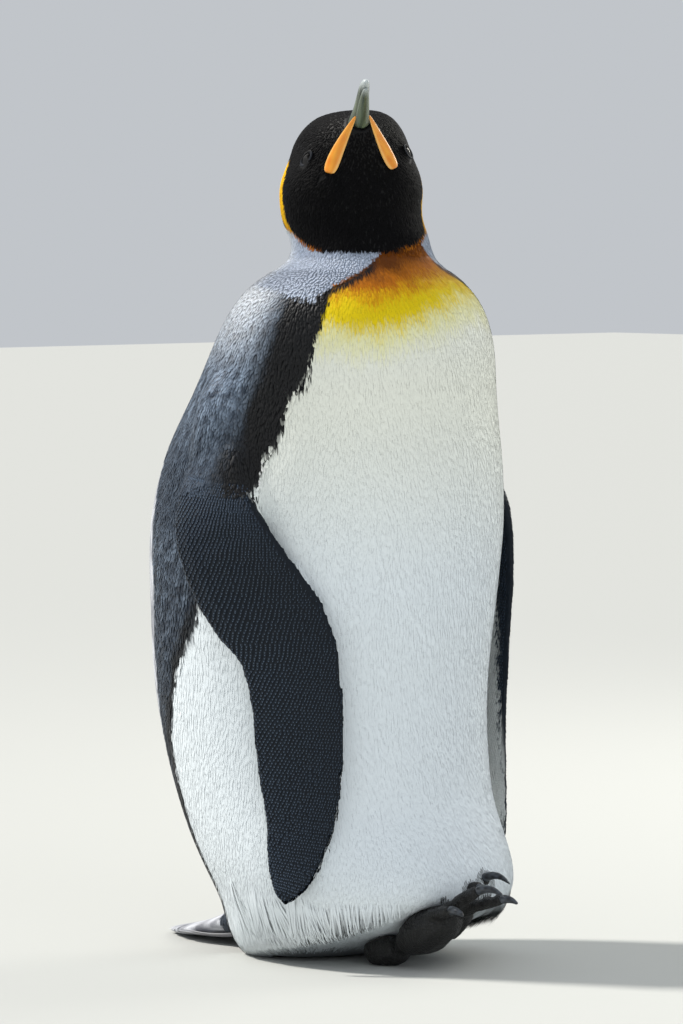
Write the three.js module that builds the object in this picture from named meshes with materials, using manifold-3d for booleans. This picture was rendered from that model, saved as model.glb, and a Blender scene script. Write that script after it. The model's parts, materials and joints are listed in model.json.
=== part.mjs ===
// A king penguin at life size, resting back on its heels and tail, as a still museum model.
// Millimetres, +Z up. The bird faces -Y, and its right side is on -X.
// Places are first given as forward, right and up from a plumb line through the middle of the trunk,
// and at the end the whole bird is shifted so that the origin is at the middle of its base.
import * as THREE from "three";
import { mergeVertices } from "three/addons/utils/BufferGeometryUtils.js";
import Module from "manifold-3d";

// ---------------------------------------------------------------- driving dimensions
const GAP = 0.3; // clearance between neighbouring solids

// Trunk cross-sections from the hem of the plumage up to the root of the neck.
const TRUNK_ROUND = 2.06; // power of the trunk's cross-section, where 2 is an ellipse
const TRUNK = [
  { up: -12, forward: 0, halfWidth: 0, halfDepth: 0 }, // cut away, so that the hem ends in a flat
  { up: 0, forward: -26, halfWidth: 72, halfDepth: 54 }, // hem on the floor
  { up: 14, forward: -12, halfWidth: 98, halfDepth: 80 }, // vent
  { up: 30, forward: 8, halfWidth: 112, halfDepth: 106 }, // belly lifted off the feet
  { up: 45, forward: 27, halfWidth: 121, halfDepth: 129 },
  { up: 64, forward: 32, halfWidth: 130, halfDepth: 143 }, // brood fold over the feet
  { up: 94, forward: 17, halfWidth: 138, halfDepth: 146 },
  { up: 140, forward: -7, halfWidth: 143, halfDepth: 141 }, // lower belly
  { up: 230, forward: -27, halfWidth: 150, halfDepth: 150 }, // belly
  { up: 320, forward: -25, halfWidth: 155, halfDepth: 159 },
  { up: 390, forward: -20, halfWidth: 156, halfDepth: 165 }, // greatest girth
  { up: 454, forward: -10, halfWidth: 150, halfDepth: 154 }, // breast
  { up: 500, forward: 3, halfWidth: 142, halfDepth: 133 }, // shoulder joint
  { up: 544, forward: 16, halfWidth: 133, halfDepth: 122 }, // shoulder
  { up: 580, forward: 22, halfWidth: 121, halfDepth: 109 }, // mantle
  { up: 604, forward: 24, halfWidth: 103, halfDepth: 92 }, // bib
  { up: 621, forward: 27, halfWidth: 78, halfDepth: 72 }, // root of the neck
  { up: 634, forward: 28, halfWidth: 0, halfDepth: 0 },
];
const TRUNK_RINGS = 27;
const TRUNK_SIDES = 26;

// Neck: short and thick, because it is drawn in.
const NECK_BASE = { forward: 30, right: -3, up: 596 };
const NECK_TOP = { forward: 22, right: -1, up: 668 };
const NECK_RADIUS = 63;

// Head: a broad skull over a full throat, pitched up, turned to the bird's right and tilted.
const HEAD_CENTRE = { forward: 20, right: 4, up: 712 };
const HEAD_PITCH = 38; // degrees above level
const HEAD_TURN = 37; // degrees to the right of straight ahead
const HEAD_TILT = 5; // degrees that the left side of the head is raised
const SKULL = { length: 57, width: 55, height: 44, boxiness: 3.6 }; // semi-axes
const SKULL_TAPER = 0.3; // share of its width that the skull loses towards the bill
const THROAT = { forward: 14, right: 2, up: 676, radius: 65, halfHeight: 41 };
const FACE = { back: 16, backRadius: 41, front: 68, frontRadius: 10, drop: -5 }; // cone to the bill
const CHIN = { back: 22, backRadius: 25, front: 72, frontRadius: 4.5, drop: -17 };
const HEAD_BLEND = 15; // how softly these run into each other
const EYE = { ahead: 27.5, side: 43, above: -11.5, radius: 8.5 };

// Bill stations in the head's own frame: reach ahead, middle height, half width and half height.
const BILL_UPPER = [
  { reach: 50, middle: -3, half: 13, high: 11.5 }, // under the forehead feathers
  { reach: 66, middle: -4, half: 10.5, high: 9.5 },
  { reach: 84, middle: -5, half: 7, high: 7 },
  { reach: 102, middle: -6.4, half: 5.6, high: 5.6 },
  { reach: 120, middle: -8.8, half: 4.6, high: 4.6 },
  { reach: 131, middle: -11.4, half: 3.4, high: 3.6 },
  { reach: 138, middle: -14, half: 1.2, high: 1.5 }, // tip, drooped
];
const BILL_LOWER = [
  { reach: 70, middle: -16, half: 7, high: 3.4 }, // between the plates
  { reach: 92, middle: -14.6, half: 6.2, high: 4.4 },
  { reach: 106, middle: -14, half: 5, high: 3.8 },
  { reach: 120, middle: -14.8, half: 3.7, high: 3 },
  { reach: 131, middle: -16.2, half: 1.6, high: 1.4 },
];
const PLATE = { gape: [38, 28.8, -34.5], bow: [49, 20, -18], front: [90, 5.6, -14.5], half: 7, thick: 3.2 };

// Flipper stations from the shoulder to the tip.
// facing is the direction of the outer face, in degrees round from straight ahead.
const FLIPPERS = {
  right: [
    { forward: -26, right: 112, up: 482, chord: 14, thick: 8, facing: 95 }, // inside the shoulder
    { forward: -6, right: 148, up: 452, chord: 38, thick: 13, facing: 92 }, // shoulder joint
    { forward: 7, right: 161, up: 417, chord: 42, thick: 12, facing: 83 }, // upper arm
    { forward: 20, right: 164, up: 386, chord: 48, thick: 11, facing: 76 },
    { forward: 45, right: 151, up: 338, chord: 51, thick: 10, facing: 64 }, // elbow
    { forward: 70, right: 130, up: 294, chord: 47, thick: 9, facing: 55 }, // wrist
    { forward: 78, right: 123, up: 241, chord: 42.5, thick: 8, facing: 52 }, // hand
    { forward: 80, right: 121, up: 188, chord: 40.5, thick: 7, facing: 52 },
    { forward: 83, right: 123, up: 136, chord: 33, thick: 6, facing: 54 }, // long fingers
    { forward: 82, right: 133, up: 92, chord: 23, thick: 5, facing: 56 },
    { forward: 81, right: 138, up: 72, chord: 13, thick: 4, facing: 56 },
    { forward: 80, right: 139, up: 61, chord: 3, thick: 2.5, facing: 56 }, // tip
  ],
  left: [
    { forward: -26, right: 112, up: 482, chord: 14, thick: 8, facing: 95 },
    { forward: -8, right: 148, up: 452, chord: 38, thick: 13, facing: 92 },
    { forward: 0, right: 164, up: 417, chord: 42, thick: 12, facing: 87 },
    { forward: 5, right: 171, up: 386, chord: 43, thick: 11, facing: 84 },
    { forward: 9, right: 171, up: 338, chord: 44, thick: 10, facing: 82 },
    { forward: 10, right: 168, up: 294, chord: 44, thick: 9, facing: 80 },
    { forward: 11, right: 165, up: 241, chord: 42, thick: 8, facing: 80 },
    { forward: 14, right: 163, up: 188, chord: 38, thick: 7, facing: 80 },
    { forward: 19, right: 165, up: 148, chord: 31, thick: 6, facing: 80 },
    { forward: 26, right: 167, up: 114, chord: 20, thick: 5, facing: 80 },
    { forward: 31, right: 168, up: 98, chord: 10, thick: 4, facing: 80 },
    { forward: 33, right: 168, up: 90, chord: 3, thick: 2.5, facing: 80 },
  ],
};
const FLIPPER_RINGS = 22;
const FLIPPER_SIDES = 10;
const FLIPPER_SQUARENESS = 0.42; // how full the blade stays towards its two edges

// Feet: the heels carry the bird, and the toes are lifted off the floor.
const FEET = {
  right: { side: 30, heel: 92, lift: 0 },
  left: { side: 25, heel: 48, lift: 5 },
};
const HEEL = { up: 13, radius: 18 };
const SHANK = { up: 66, half: 15, high: 17 };
const SOLE = { backAhead: 22, backUp: 19, frontAhead: 92, frontUp: 52, half: 24, high: 20 }; // the fleshy pad
const TOE_ROOT = { ahead: 74, up: 50 }; // from the heel
const TOES = [
  { name: "inner", root: -15, splay: -6, length: 70, lift: 17, radius: 9, claw: 20 },
  { name: "middle", root: -2, splay: 0, length: 60, lift: 29, radius: 10, claw: 38 },
  { name: "outer", root: 12, splay: 8, length: 38, lift: 15, radius: 9.5, claw: 22 },
];
const WEB_THICKNESS = 5;
const CLAW_RADIUS = 4.6;

// Tail: a stiff fan that props the bird up from behind.
const TAIL = [
  { forward: -52, up: 34, halfWidth: 54, thick: 16 }, // inside the rump
  { forward: -84, up: 29, halfWidth: 60, thick: 17 },
  { forward: -114, up: 21, halfWidth: 54, thick: 14 },
  { forward: -144, up: 14, halfWidth: 48, thick: 11 },
  { forward: -174, up: 9, halfWidth: 42, thick: 9 },
  { forward: -204, up: 5.5, halfWidth: 29, thick: 6.5 },
  { forward: -234, up: 3, halfWidth: 9, thick: 3.5 }, // tips of the middle feathers
];

// ---------------------------------------------------------------- materials
const paint = (color, roughness) => new THREE.MeshStandardMaterial({ color, roughness, metalness: 0 });
const PLUMAGE_WHITE = paint(0xeef0ec, 0.7);
const PLUMAGE_BLACK = paint(0x17181b, 0.75);
const PLUMAGE_SLATE = paint(0x4a5563, 0.7);
const PLUMAGE_SILVER = paint(0x9aa8b8, 0.7);
const FOOT_SKIN = paint(0x1d1d20, 0.6);
const CLAW_HORN = paint(0x26292e, 0.35);
const BILL_HORN = paint(0x2c312b, 0.35);
const PLATE_ORANGE = paint(0xe88a1c, 0.4);
const EYE_BROWN = paint(0x2a1a10, 0.1);

// ---------------------------------------------------------------- helpers
const wasm = await Module();
wasm.setup();

const radians = THREE.MathUtils.degToRad;
const place = ({ forward, right = 0, up }) => new THREE.Vector3(-right, -forward, up);

// A smooth curve through values that are given at rising positions.
function smoothValue(positions, values, at) {
  const last = positions.length - 1;
  let i = 0;
  while (i < last - 1 && at > positions[i + 1]) i += 1;
  const slope = (k) => {
    const a = Math.max(k - 1, 0);
    const b = Math.min(k + 1, last);
    return (values[b] - values[a]) / (positions[b] - positions[a]);
  };
  const span = positions[i + 1] - positions[i];
  const t = THREE.MathUtils.clamp((at - positions[i]) / span, 0, 1);
  const a = slope(i) * span;
  const b = slope(i + 1) * span;
  const rise = values[i + 1] - values[i];
  return values[i] + t * (a + t * (3 * rise - 2 * a - b + t * (a + b - 2 * rise)));
}

// A closed surface made of rings of points, each end drawn to one point.
function closedLoft(rings, sides, pointAt, startPole, endPole) {
  const points = [startPole];
  for (let r = 0; r < rings; r += 1) {
    for (let s = 0; s < sides; s += 1) {
      points.push(pointAt((r + 1) / (rings + 1), (2 * Math.PI * s) / sides));
    }
  }
  points.push(endPole);
  const corner = (r, s) => 1 + r * sides + (s % sides);
  const index = [];
  for (let s = 0; s < sides; s += 1) {
    index.push(0, corner(0, s + 1), corner(0, s));
    index.push(points.length - 1, corner(rings - 1, s), corner(rings - 1, s + 1));
    for (let r = 0; r + 1 < rings; r += 1) {
      index.push(corner(r, s), corner(r, s + 1), corner(r + 1, s + 1));
      index.push(corner(r, s), corner(r + 1, s + 1), corner(r + 1, s));
    }
  }
  return new THREE.BufferGeometry().setFromPoints(points).setIndex(index);
}

function signedVolume(points, triangles) {
  const corner = (i) => new THREE.Vector3().fromArray(points, triangles[i] * 3);
  let volume = 0;
  for (let i = 0; i < triangles.length; i += 3) {
    volume += corner(i).dot(corner(i + 1).cross(corner(i + 2))) / 6;
  }
  return volume;
}

// A manifold-3d solid of a closed geometry, turned right side out.
function solidOf(geometry) {
  const bare = geometry.clone();
  bare.deleteAttribute("normal");
  bare.deleteAttribute("uv");
  const merged = mergeVertices(bare, 1e-3);
  const vertProperties = merged.attributes.position.array;
  const build = (triVerts) => new wasm.Manifold(new wasm.Mesh({ numProp: 3, vertProperties, triVerts }));
  const triangles = new Uint32Array(merged.index.array);
  const turnedOver = triangles.map((_, i) => triangles[i - (i % 3) + 2 - (i % 3)]);
  return signedVolume(vertProperties, triangles) > 0 ? build(triangles) : build(turnedOver);
}

const largest = (solid) => solid.decompose().sort((a, b) => b.volume() - a.volume())[0];
const cut = (solid, ...tools) => largest(tools.reduce((rest, tool) => rest.subtract(tool), solid));
const joined = (solids) => solids.reduce((a, b) => a.add(b));

function meshOf(name, solid, material) {
  const { numProp, vertProperties, triVerts } = solid.getMesh();
  const count = vertProperties.length / numProp;
  const position = new Float32Array(count * 3);
  for (let i = 0; i < count; i += 1) {
    position.set(vertProperties.subarray(i * numProp, i * numProp + 3), i * 3);
  }
  const geometry = new THREE.BufferGeometry();
  geometry.setAttribute("position", new THREE.BufferAttribute(position, 3));
  geometry.setIndex(new THREE.BufferAttribute(new Uint32Array(triVerts), 1));
  const mesh = new THREE.Mesh(geometry, material);
  mesh.name = name;
  return mesh;
}

// Everything below a level, as a tool that leaves a flat there.
function floorTool(level) {
  const size = 800;
  return solidOf(new THREE.BoxGeometry(size, size, size).translate(0, 0, level - size / 2));
}

// A tapered round limb along a curve, closed at both ends; radius gives half its width and half its height.
function taperedLimb(curve, radiusAt, rings, sides) {
  const side = new THREE.Vector3();
  const top = new THREE.Vector3();
  const pointAt = (t, angle) => {
    const along = curve.getTangentAt(t);
    side.set(0, 0, 1).cross(along).normalize();
    top.copy(along).cross(side);
    const { half, high } = radiusAt(t);
    return curve
      .getPointAt(t)
      .addScaledVector(side, half * Math.cos(angle))
      .addScaledVector(top, high * Math.sin(angle));
  };
  return solidOf(closedLoft(rings, sides, pointAt, curve.getPointAt(0), curve.getPointAt(1)));
}

// ---------------------------------------------------------------- trunk
const trunkLevels = TRUNK.map((s) => s.up);
const trunkForward = TRUNK.map((s) => s.forward);
const trunkWidths = TRUNK.map((s) => s.halfWidth ** 2); // squares, so that the two ends come out round
const trunkDepths = TRUNK.map((s) => s.halfDepth ** 2);

function trunkRing(up, angle, grow) {
  const halfWidth = Math.sqrt(Math.max(smoothValue(trunkLevels, trunkWidths, up), 1)) + grow;
  const halfDepth = Math.sqrt(Math.max(smoothValue(trunkLevels, trunkDepths, up), 1)) + grow;
  const power = (v) => Math.sign(v) * Math.abs(v) ** (2 / TRUNK_ROUND);
  return place({
    forward: smoothValue(trunkLevels, trunkForward, up) + halfDepth * power(Math.cos(angle)),
    right: halfWidth * power(Math.sin(angle)),
    up,
  });
}

function trunkSolid(grow = 0) {
  const low = TRUNK[0];
  const high = TRUNK.at(-1);
  const level = (t) => low.up + (high.up - low.up) * (0.5 - 0.5 * Math.cos(Math.PI * t));
  const lift = (t) => level(t) + grow * (2 * t - 1);
  return solidOf(
    closedLoft(
      TRUNK_RINGS,
      TRUNK_SIDES,
      (t, angle) => trunkRing(level(t), angle, grow).setZ(lift(t)),
      place({ ...low, up: low.up - grow }),
      place({ ...high, up: high.up + grow }),
    ),
  );
}

// ---------------------------------------------------------------- neck
function neckSolid() {
  const line = new THREE.LineCurve3(place(NECK_BASE), place(NECK_TOP));
  const pointAt = (t, angle) => {
    const round = NECK_RADIUS * Math.sqrt(1 - (2 * t - 1) ** 8);
    const centre = line.getPoint(t);
    return centre.add(new THREE.Vector3(round * Math.cos(angle), round * Math.sin(angle), 0));
  };
  return solidOf(closedLoft(7, 24, pointAt, line.getPoint(0), line.getPoint(1)));
}

// ---------------------------------------------------------------- head
// The head's own frame: x towards the bill's tip, y to the bird's right, z to the crown.
const headFrame = new THREE.Matrix4();
{
  const turn = radians(HEAD_TURN);
  const pitch = radians(HEAD_PITCH);
  const ahead = place({
    forward: Math.cos(pitch) * Math.cos(turn),
    right: Math.cos(pitch) * Math.sin(turn),
    up: Math.sin(pitch),
  });
  const level = place({ forward: -Math.sin(turn), right: Math.cos(turn), up: 0 });
  const right = level.applyAxisAngle(ahead, radians(HEAD_TILT));
  const crown = new THREE.Vector3().crossVectors(right, ahead);
  headFrame.makeBasis(ahead, right, crown).setPosition(place(HEAD_CENTRE));
}

const softMin = (a, b) => {
  const h = Math.max(HEAD_BLEND - Math.abs(a - b), 0) / HEAD_BLEND;
  return Math.min(a, b) - (h * h * HEAD_BLEND) / 4;
};
// Distance to a cone with round ends that lies level in the head's own frame.
function coneDistance(p, { back, backRadius, front, frontRadius, drop }) {
  const t = THREE.MathUtils.clamp((p.x - back) / (front - back), 0, 1);
  const nearest = Math.hypot(p.x - (back + (front - back) * t), p.y, p.z - drop);
  return nearest - (backRadius + (frontRadius - backRadius) * t);
}
function skullDistance(p) {
  const { length, height, boxiness } = SKULL;
  const width = SKULL.width * (1 - (SKULL_TAPER * Math.max(p.x, 0)) / length);
  const profile = Math.hypot(p.x / length, p.z / height) ** boxiness;
  return ((profile + Math.abs(p.y / width) ** boxiness) ** (1 / boxiness) - 1) * height;
}
// The full throat is an upright barrel under the skull, so it is measured along the bird's own up.
function throatDistance(p) {
  const q = p.clone().applyMatrix4(headFrame).sub(place(THROAT));
  const round = Math.hypot(q.x, q.y) / THROAT.radius;
  return ((round ** 3 + Math.abs(q.z / THROAT.halfHeight) ** 3) ** (1 / 3) - 1) * THROAT.halfHeight;
}
function headDistance(p) {
  return [throatDistance(p), coneDistance(p, FACE), coneDistance(p, CHIN)].reduce(softMin, skullDistance(p));
}
// The head's surface is found along rays from its centre.
function headSolid(grow = 0) {
  const ball = new THREE.SphereGeometry(1, 30, 20);
  ball.rotateZ(-Math.PI / 2); // the fine pole of the mesh faces the bill
  const at = ball.getAttribute("position");
  const ray = new THREE.Vector3();
  const probe = new THREE.Vector3();
  for (let i = 0; i < at.count; i += 1) {
    ray.fromBufferAttribute(at, i).normalize();
    let inside = 0;
    let outside = 160;
    for (let step = 0; step < 22; step += 1) {
      const middle = (inside + outside) / 2;
      if (headDistance(probe.copy(ray).multiplyScalar(middle)) < grow) inside = middle;
      else outside = middle;
    }
    ray.multiplyScalar(inside);
    at.setXYZ(i, ray.x, ray.y, ray.z);
  }
  return solidOf(ball.applyMatrix4(headFrame));
}

// ---------------------------------------------------------------- bill, plates and eyes
function billSolid(stations, grow = 0) {
  const reach = stations.map((s) => s.reach);
  const value = (key, at) => smoothValue(reach, stations.map((s) => s[key]), at);
  const from = reach[0] - grow;
  const to = reach.at(-1) + grow;
  const pointAt = (t, angle) => {
    const at = from + (to - from) * t;
    const half = (value("half", at) + grow) * Math.cos(angle);
    const high = (value("high", at) + grow) * Math.sin(angle);
    return new THREE.Vector3(at, half, value("middle", at) + high);
  };
  const pole = (at, middle) => new THREE.Vector3(at, 0, middle);
  const ends = [pole(from, stations[0].middle), pole(to, stations.at(-1).middle)];
  return solidOf(closedLoft(12, 10, pointAt, ...ends).applyMatrix4(headFrame));
}
// A mandibular plate: a long, low shield on the side of the lower jaw.
function plateSolid(side, grow = 0) {
  const corner = ([x, y, z]) => new THREE.Vector3(x, y * side, z);
  const curve = new THREE.QuadraticBezierCurve3(corner(PLATE.gape), corner(PLATE.bow), corner(PLATE.front));
  const outward = new THREE.Vector3(0.25, 0.7 * side, -0.67).normalize();
  const pointAt = (t, angle) => {
    const along = curve.getTangentAt(t);
    const across = along.clone().cross(outward).normalize();
    const proud = across.clone().cross(along).normalize();
    const full = Math.sin(Math.PI * (0.05 + 0.9 * t ** 1.25)) ** 0.6 * (1 - 0.35 * t);
    return curve
      .getPointAt(t)
      .addScaledVector(across, (PLATE.half * full + grow) * Math.cos(angle))
      .addScaledVector(proud, (PLATE.thick * full + grow) * Math.sin(angle));
  };
  const end = (t) => curve.getPointAt(t).addScaledVector(curve.getTangentAt(t), (2 * t - 1) * (1 + grow));
  return solidOf(closedLoft(10, 8, pointAt, end(0), end(1)).applyMatrix4(headFrame));
}
function eyeSolid(side, grow = 0) {
  const ball = new THREE.SphereGeometry(EYE.radius + grow, 10, 7);
  return solidOf(ball.translate(EYE.ahead, EYE.side * side, EYE.above).applyMatrix4(headFrame));
}

// ---------------------------------------------------------------- flippers
function flipperSolid(name, side) {
  const stations = FLIPPERS[name];
  const steps = stations.map((_, i) => i / (stations.length - 1));
  const value = (key, t) => smoothValue(steps, stations.map((s) => s[key]), t);
  const centre = (t) =>
    place({ forward: value("forward", t), right: side * value("right", t), up: value("up", t) });
  const pointAt = (t, angle) => {
    const facing = radians(value("facing", t));
    const outward = place({ forward: Math.cos(facing), right: side * Math.sin(facing), up: 0 });
    const along = centre(Math.min(t + 0.01, 1)).sub(centre(Math.max(t - 0.01, 0))).normalize();
    const chord = along.clone().cross(outward).normalize().multiplyScalar(side);
    const across = Math.sign(Math.cos(angle)) * Math.abs(Math.cos(angle)) ** FLIPPER_SQUARENESS;
    const leading = 0.75 + 0.25 * across; // the leading edge is round, and the trailing edge thin
    return centre(t)
      .addScaledVector(chord, value("chord", t) * across)
      .addScaledVector(outward, value("thick", t) * leading * Math.sin(angle));
  };
  return solidOf(closedLoft(FLIPPER_RINGS, FLIPPER_SIDES, pointAt, centre(0), centre(1)));
}

// ---------------------------------------------------------------- legs and feet
const heelPlace = (name, side, ahead, up) =>
  place({ forward: FEET[name].heel + ahead, right: side * FEET[name].side, up });

// The leg is the upright shank inside the plumage and the heel that it stands on.
function legSolid(name, side, grow = 0) {
  const round = (t) => Math.sin(Math.PI * (0.08 + 0.84 * t)) ** 0.4;
  const limb = (from, to, half, high) =>
    taperedLimb(
      new THREE.LineCurve3(from, to),
      (t) => ({ half: half * round(t) + grow, high: high * round(t) + grow }),
      8,
      12,
    );
  const { up, radius } = HEEL;
  const heel = limb(
    heelPlace(name, side, -20, up - 3),
    heelPlace(name, side, 26, up + 4),
    radius,
    radius - 2,
  );
  const shank = limb(
    heelPlace(name, side, 6, up - 4),
    heelPlace(name, side, -8, SHANK.up),
    SHANK.half,
    SHANK.high,
  );
  return heel.add(shank);
}
function toeCurve(name, side, toe) {
  const splay = radians(toe.splay);
  const foot = FEET[name];
  const root = {
    forward: foot.heel + TOE_ROOT.ahead,
    right: side * (foot.side + toe.root),
    up: TOE_ROOT.up,
  };
  const at = (share, lift) => ({
    forward: root.forward + toe.length * share * Math.cos(splay) * Math.cos(lift),
    right: root.right + side * toe.length * share * Math.sin(splay) * Math.cos(lift),
    up: root.up + toe.length * share * Math.sin(lift),
  });
  const lift = radians(toe.lift + foot.lift);
  return new THREE.CatmullRomCurve3([
    heelPlace(name, side, 18, 15),
    place(root),
    place(at(0.5, lift * 1.15)),
    place(at(1, lift)),
  ]);
}
function toeSolid(name, side, toe, grow) {
  const knuckles = 3.5;
  return taperedLimb(
    toeCurve(name, side, toe),
    (t) => {
      const round = Math.sin(Math.PI * (0.07 + 0.86 * t)) ** 0.35;
      const knuckle = 1 + 0.07 * Math.cos(2 * Math.PI * knuckles * t);
      const half = toe.radius * (1 - 0.2 * t) * round * knuckle;
      return { half: half + grow, high: half * 0.9 + grow };
    },
    9,
    7,
  );
}
// The skin between two toes, as a thin slab that follows both and is scooped out at its free edge.
function webSolid(name, side, toeA, toeB, grow) {
  const a = toeCurve(name, side, toeA);
  const b = toeCurve(name, side, toeB);
  const between = (reach, across) => a.getPointAt(reach).lerp(b.getPointAt(reach), across);
  const pointAt = (t, angle) => {
    const across = 0.5 + 0.5 * Math.sign(Math.cos(angle)) * Math.abs(Math.cos(angle)) ** 0.3;
    const scoop = 0.16 * (1 - (2 * across - 1) ** 2) * t;
    const point = between(0.3 + 0.55 * t - scoop, across);
    point.z += (WEB_THICKNESS / 2 + grow) * Math.sin(angle) - 1;
    return point;
  };
  return solidOf(closedLoft(5, 8, pointAt, between(0.28, 0.5), between(0.66, 0.5)));
}
// The thick pad behind the toes, raised towards them.
function soleSolid(name, side, grow) {
  const back = heelPlace(name, side, SOLE.backAhead, SOLE.backUp);
  const front = heelPlace(name, side, SOLE.frontAhead, SOLE.frontUp);
  return taperedLimb(
    new THREE.LineCurve3(back, front),
    (t) => {
      const round = Math.sin(Math.PI * (0.06 + 0.88 * t)) ** 0.6;
      return { half: SOLE.half * round + grow, high: SOLE.high * round + grow };
    },
    8,
    10,
  );
}
function footSolid(name, side, grow = 0) {
  const [inner, middle, outer] = TOES;
  return joined([
    soleSolid(name, side, grow),
    ...TOES.map((toe) => toeSolid(name, side, toe, grow)),
    webSolid(name, side, inner, middle, grow),
    webSolid(name, side, middle, outer, grow),
  ]);
}
function clawSolid(name, side, toe, grow = 0) {
  const curve = toeCurve(name, side, toe);
  const along = curve.getTangentAt(1);
  const root = curve.getPointAt(0.9);
  const droop = new THREE.Vector3(along.x, along.y, -0.55).normalize();
  const bow = new THREE.QuadraticBezierCurve3(
    root,
    root.clone().addScaledVector(along, toe.claw * 0.6),
    root.clone().addScaledVector(along, toe.claw * 0.55).addScaledVector(droop, toe.claw * 0.55),
  );
  return taperedLimb(
    bow,
    (t) => {
      const round = (1 - t) ** 0.7 * Math.min(1, 0.55 + 3 * t);
      return { half: CLAW_RADIUS * round + grow, high: CLAW_RADIUS * 0.9 * round + grow };
    },
    6,
    7,
  );
}

// ---------------------------------------------------------------- tail
function tailSolid() {
  const steps = TAIL.map((_, i) => i / (TAIL.length - 1));
  const value = (key, t) => smoothValue(steps, TAIL.map((s) => s[key]), t);
  const centre = (t) => place({ forward: value("forward", t), up: value("up", t) });
  const power = (v, p) => Math.sign(v) * Math.abs(v) ** p;
  const pointAt = (t, angle) => {
    const across = value("halfWidth", t) * power(Math.cos(angle), 0.7);
    return centre(t).add(new THREE.Vector3(across, 0, value("thick", t) * power(Math.sin(angle), 0.8)));
  };
  return solidOf(closedLoft(12, 14, pointAt, centre(0), centre(1)));
}

// ---------------------------------------------------------------- assembly
const SIDES = { right: 1, left: -1 };
const floor = floorTool(0);
const trunkRoom = trunkSolid(GAP);
const headRoom = headSolid(GAP);
const upperRoom = billSolid(BILL_UPPER, GAP);
const plateRooms = Object.values(SIDES).map((side) => plateSolid(side, GAP));
const eyeRooms = Object.values(SIDES).map((side) => eyeSolid(side, GAP));
const bird = new THREE.Group();

const faceTools = [upperRoom, billSolid(BILL_LOWER, GAP), ...plateRooms, ...eyeRooms];
// The plumage closes round the feet and claws, so the trunk has room for them and no more.
const footRooms = Object.entries(SIDES).flatMap(([name, side]) => [
  footSolid(name, side, GAP),
  ...TOES.map((toe) => clawSolid(name, side, toe, GAP)),
]);
bird.add(meshOf("trunk", cut(trunkSolid(0), ...footRooms, floor), PLUMAGE_WHITE));
bird.add(meshOf("neck", cut(neckSolid(), trunkRoom, headRoom), PLUMAGE_SILVER));
bird.add(meshOf("head", cut(headSolid(), trunkRoom, ...faceTools), PLUMAGE_BLACK));
bird.add(meshOf("bill_upper", cut(billSolid(BILL_UPPER), ...plateRooms), BILL_HORN));
bird.add(meshOf("bill_lower", cut(billSolid(BILL_LOWER), upperRoom, ...plateRooms), BILL_HORN));
bird.add(meshOf("tail", cut(tailSolid(), trunkRoom, floor), PLUMAGE_SLATE));

for (const [name, side] of Object.entries(SIDES)) {
  const legRoom = legSolid(name, side, GAP);
  const clawRooms = TOES.map((toe) => clawSolid(name, side, toe, GAP));
  bird.add(meshOf(`plate_${name}`, plateSolid(side), PLATE_ORANGE));
  bird.add(meshOf(`eye_${name}`, eyeSolid(side), EYE_BROWN));
  bird.add(meshOf(`flipper_${name}`, cut(flipperSolid(name, side), trunkRoom), PLUMAGE_SLATE));
  bird.add(meshOf(`leg_${name}`, cut(legSolid(name, side), trunkRoom, floor), FOOT_SKIN));
  const foot = cut(footSolid(name, side), legRoom, ...clawRooms, floor);
  bird.add(meshOf(`foot_${name}`, foot, FOOT_SKIN));
  for (const toe of TOES) {
    bird.add(meshOf(`claw_${name}_${toe.name}`, clawSolid(name, side, toe), CLAW_HORN));
  }
}

// The origin goes to the middle of the base.
const box = new THREE.Box3().setFromObject(bird);
bird.position.set(-(box.min.x + box.max.x) / 2, -(box.min.y + box.max.y) / 2, -box.min.z);

export default bird;
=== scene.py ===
# %% [markdown]
# # A king penguin, life size
# This lesson dresses a plain frame of solids as a museum model of a king penguin. The bird leans back on
# its heels and tail, with its neck drawn in and its bill up. The frame gives every size. The skin comes
# first, then the coat over it: some hundred thousand small feathers, each one a thin closed vane that lies
# the way the real plumage lies. Bill, eyes, feet, claws and tail follow, and the finishes come last.

# %% Load the frame and keep its box
import json
import math

import bmesh
import bpy
import numpy as np
from mathutils import Matrix, Vector
from mathutils.bvhtree import BVHTree
from mathutils.kdtree import KDTree


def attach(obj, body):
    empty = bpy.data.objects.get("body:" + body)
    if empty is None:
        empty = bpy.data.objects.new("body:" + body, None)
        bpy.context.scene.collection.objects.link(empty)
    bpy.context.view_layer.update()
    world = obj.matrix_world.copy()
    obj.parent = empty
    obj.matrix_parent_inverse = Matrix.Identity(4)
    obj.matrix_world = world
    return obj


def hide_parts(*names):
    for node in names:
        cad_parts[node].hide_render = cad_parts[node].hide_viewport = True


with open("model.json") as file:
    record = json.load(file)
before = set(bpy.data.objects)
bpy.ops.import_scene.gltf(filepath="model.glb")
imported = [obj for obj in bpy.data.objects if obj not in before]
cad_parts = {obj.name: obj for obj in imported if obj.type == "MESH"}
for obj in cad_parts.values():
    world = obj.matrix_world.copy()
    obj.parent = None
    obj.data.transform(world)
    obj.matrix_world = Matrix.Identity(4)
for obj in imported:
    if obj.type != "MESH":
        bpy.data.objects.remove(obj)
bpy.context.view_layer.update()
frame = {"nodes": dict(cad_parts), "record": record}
MM = 0.001
rng = np.random.default_rng(11)

# %% [markdown]
# ## Places on the bird
# Places are given as a distance forward, to the bird's right and up, from a plumb line through the middle of
# the trunk. The mount on the hem tells where that line is, so the frame and the lesson agree. The head has a
# frame of its own, because it is raised, turned to the bird's right and a little tilted.

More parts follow.
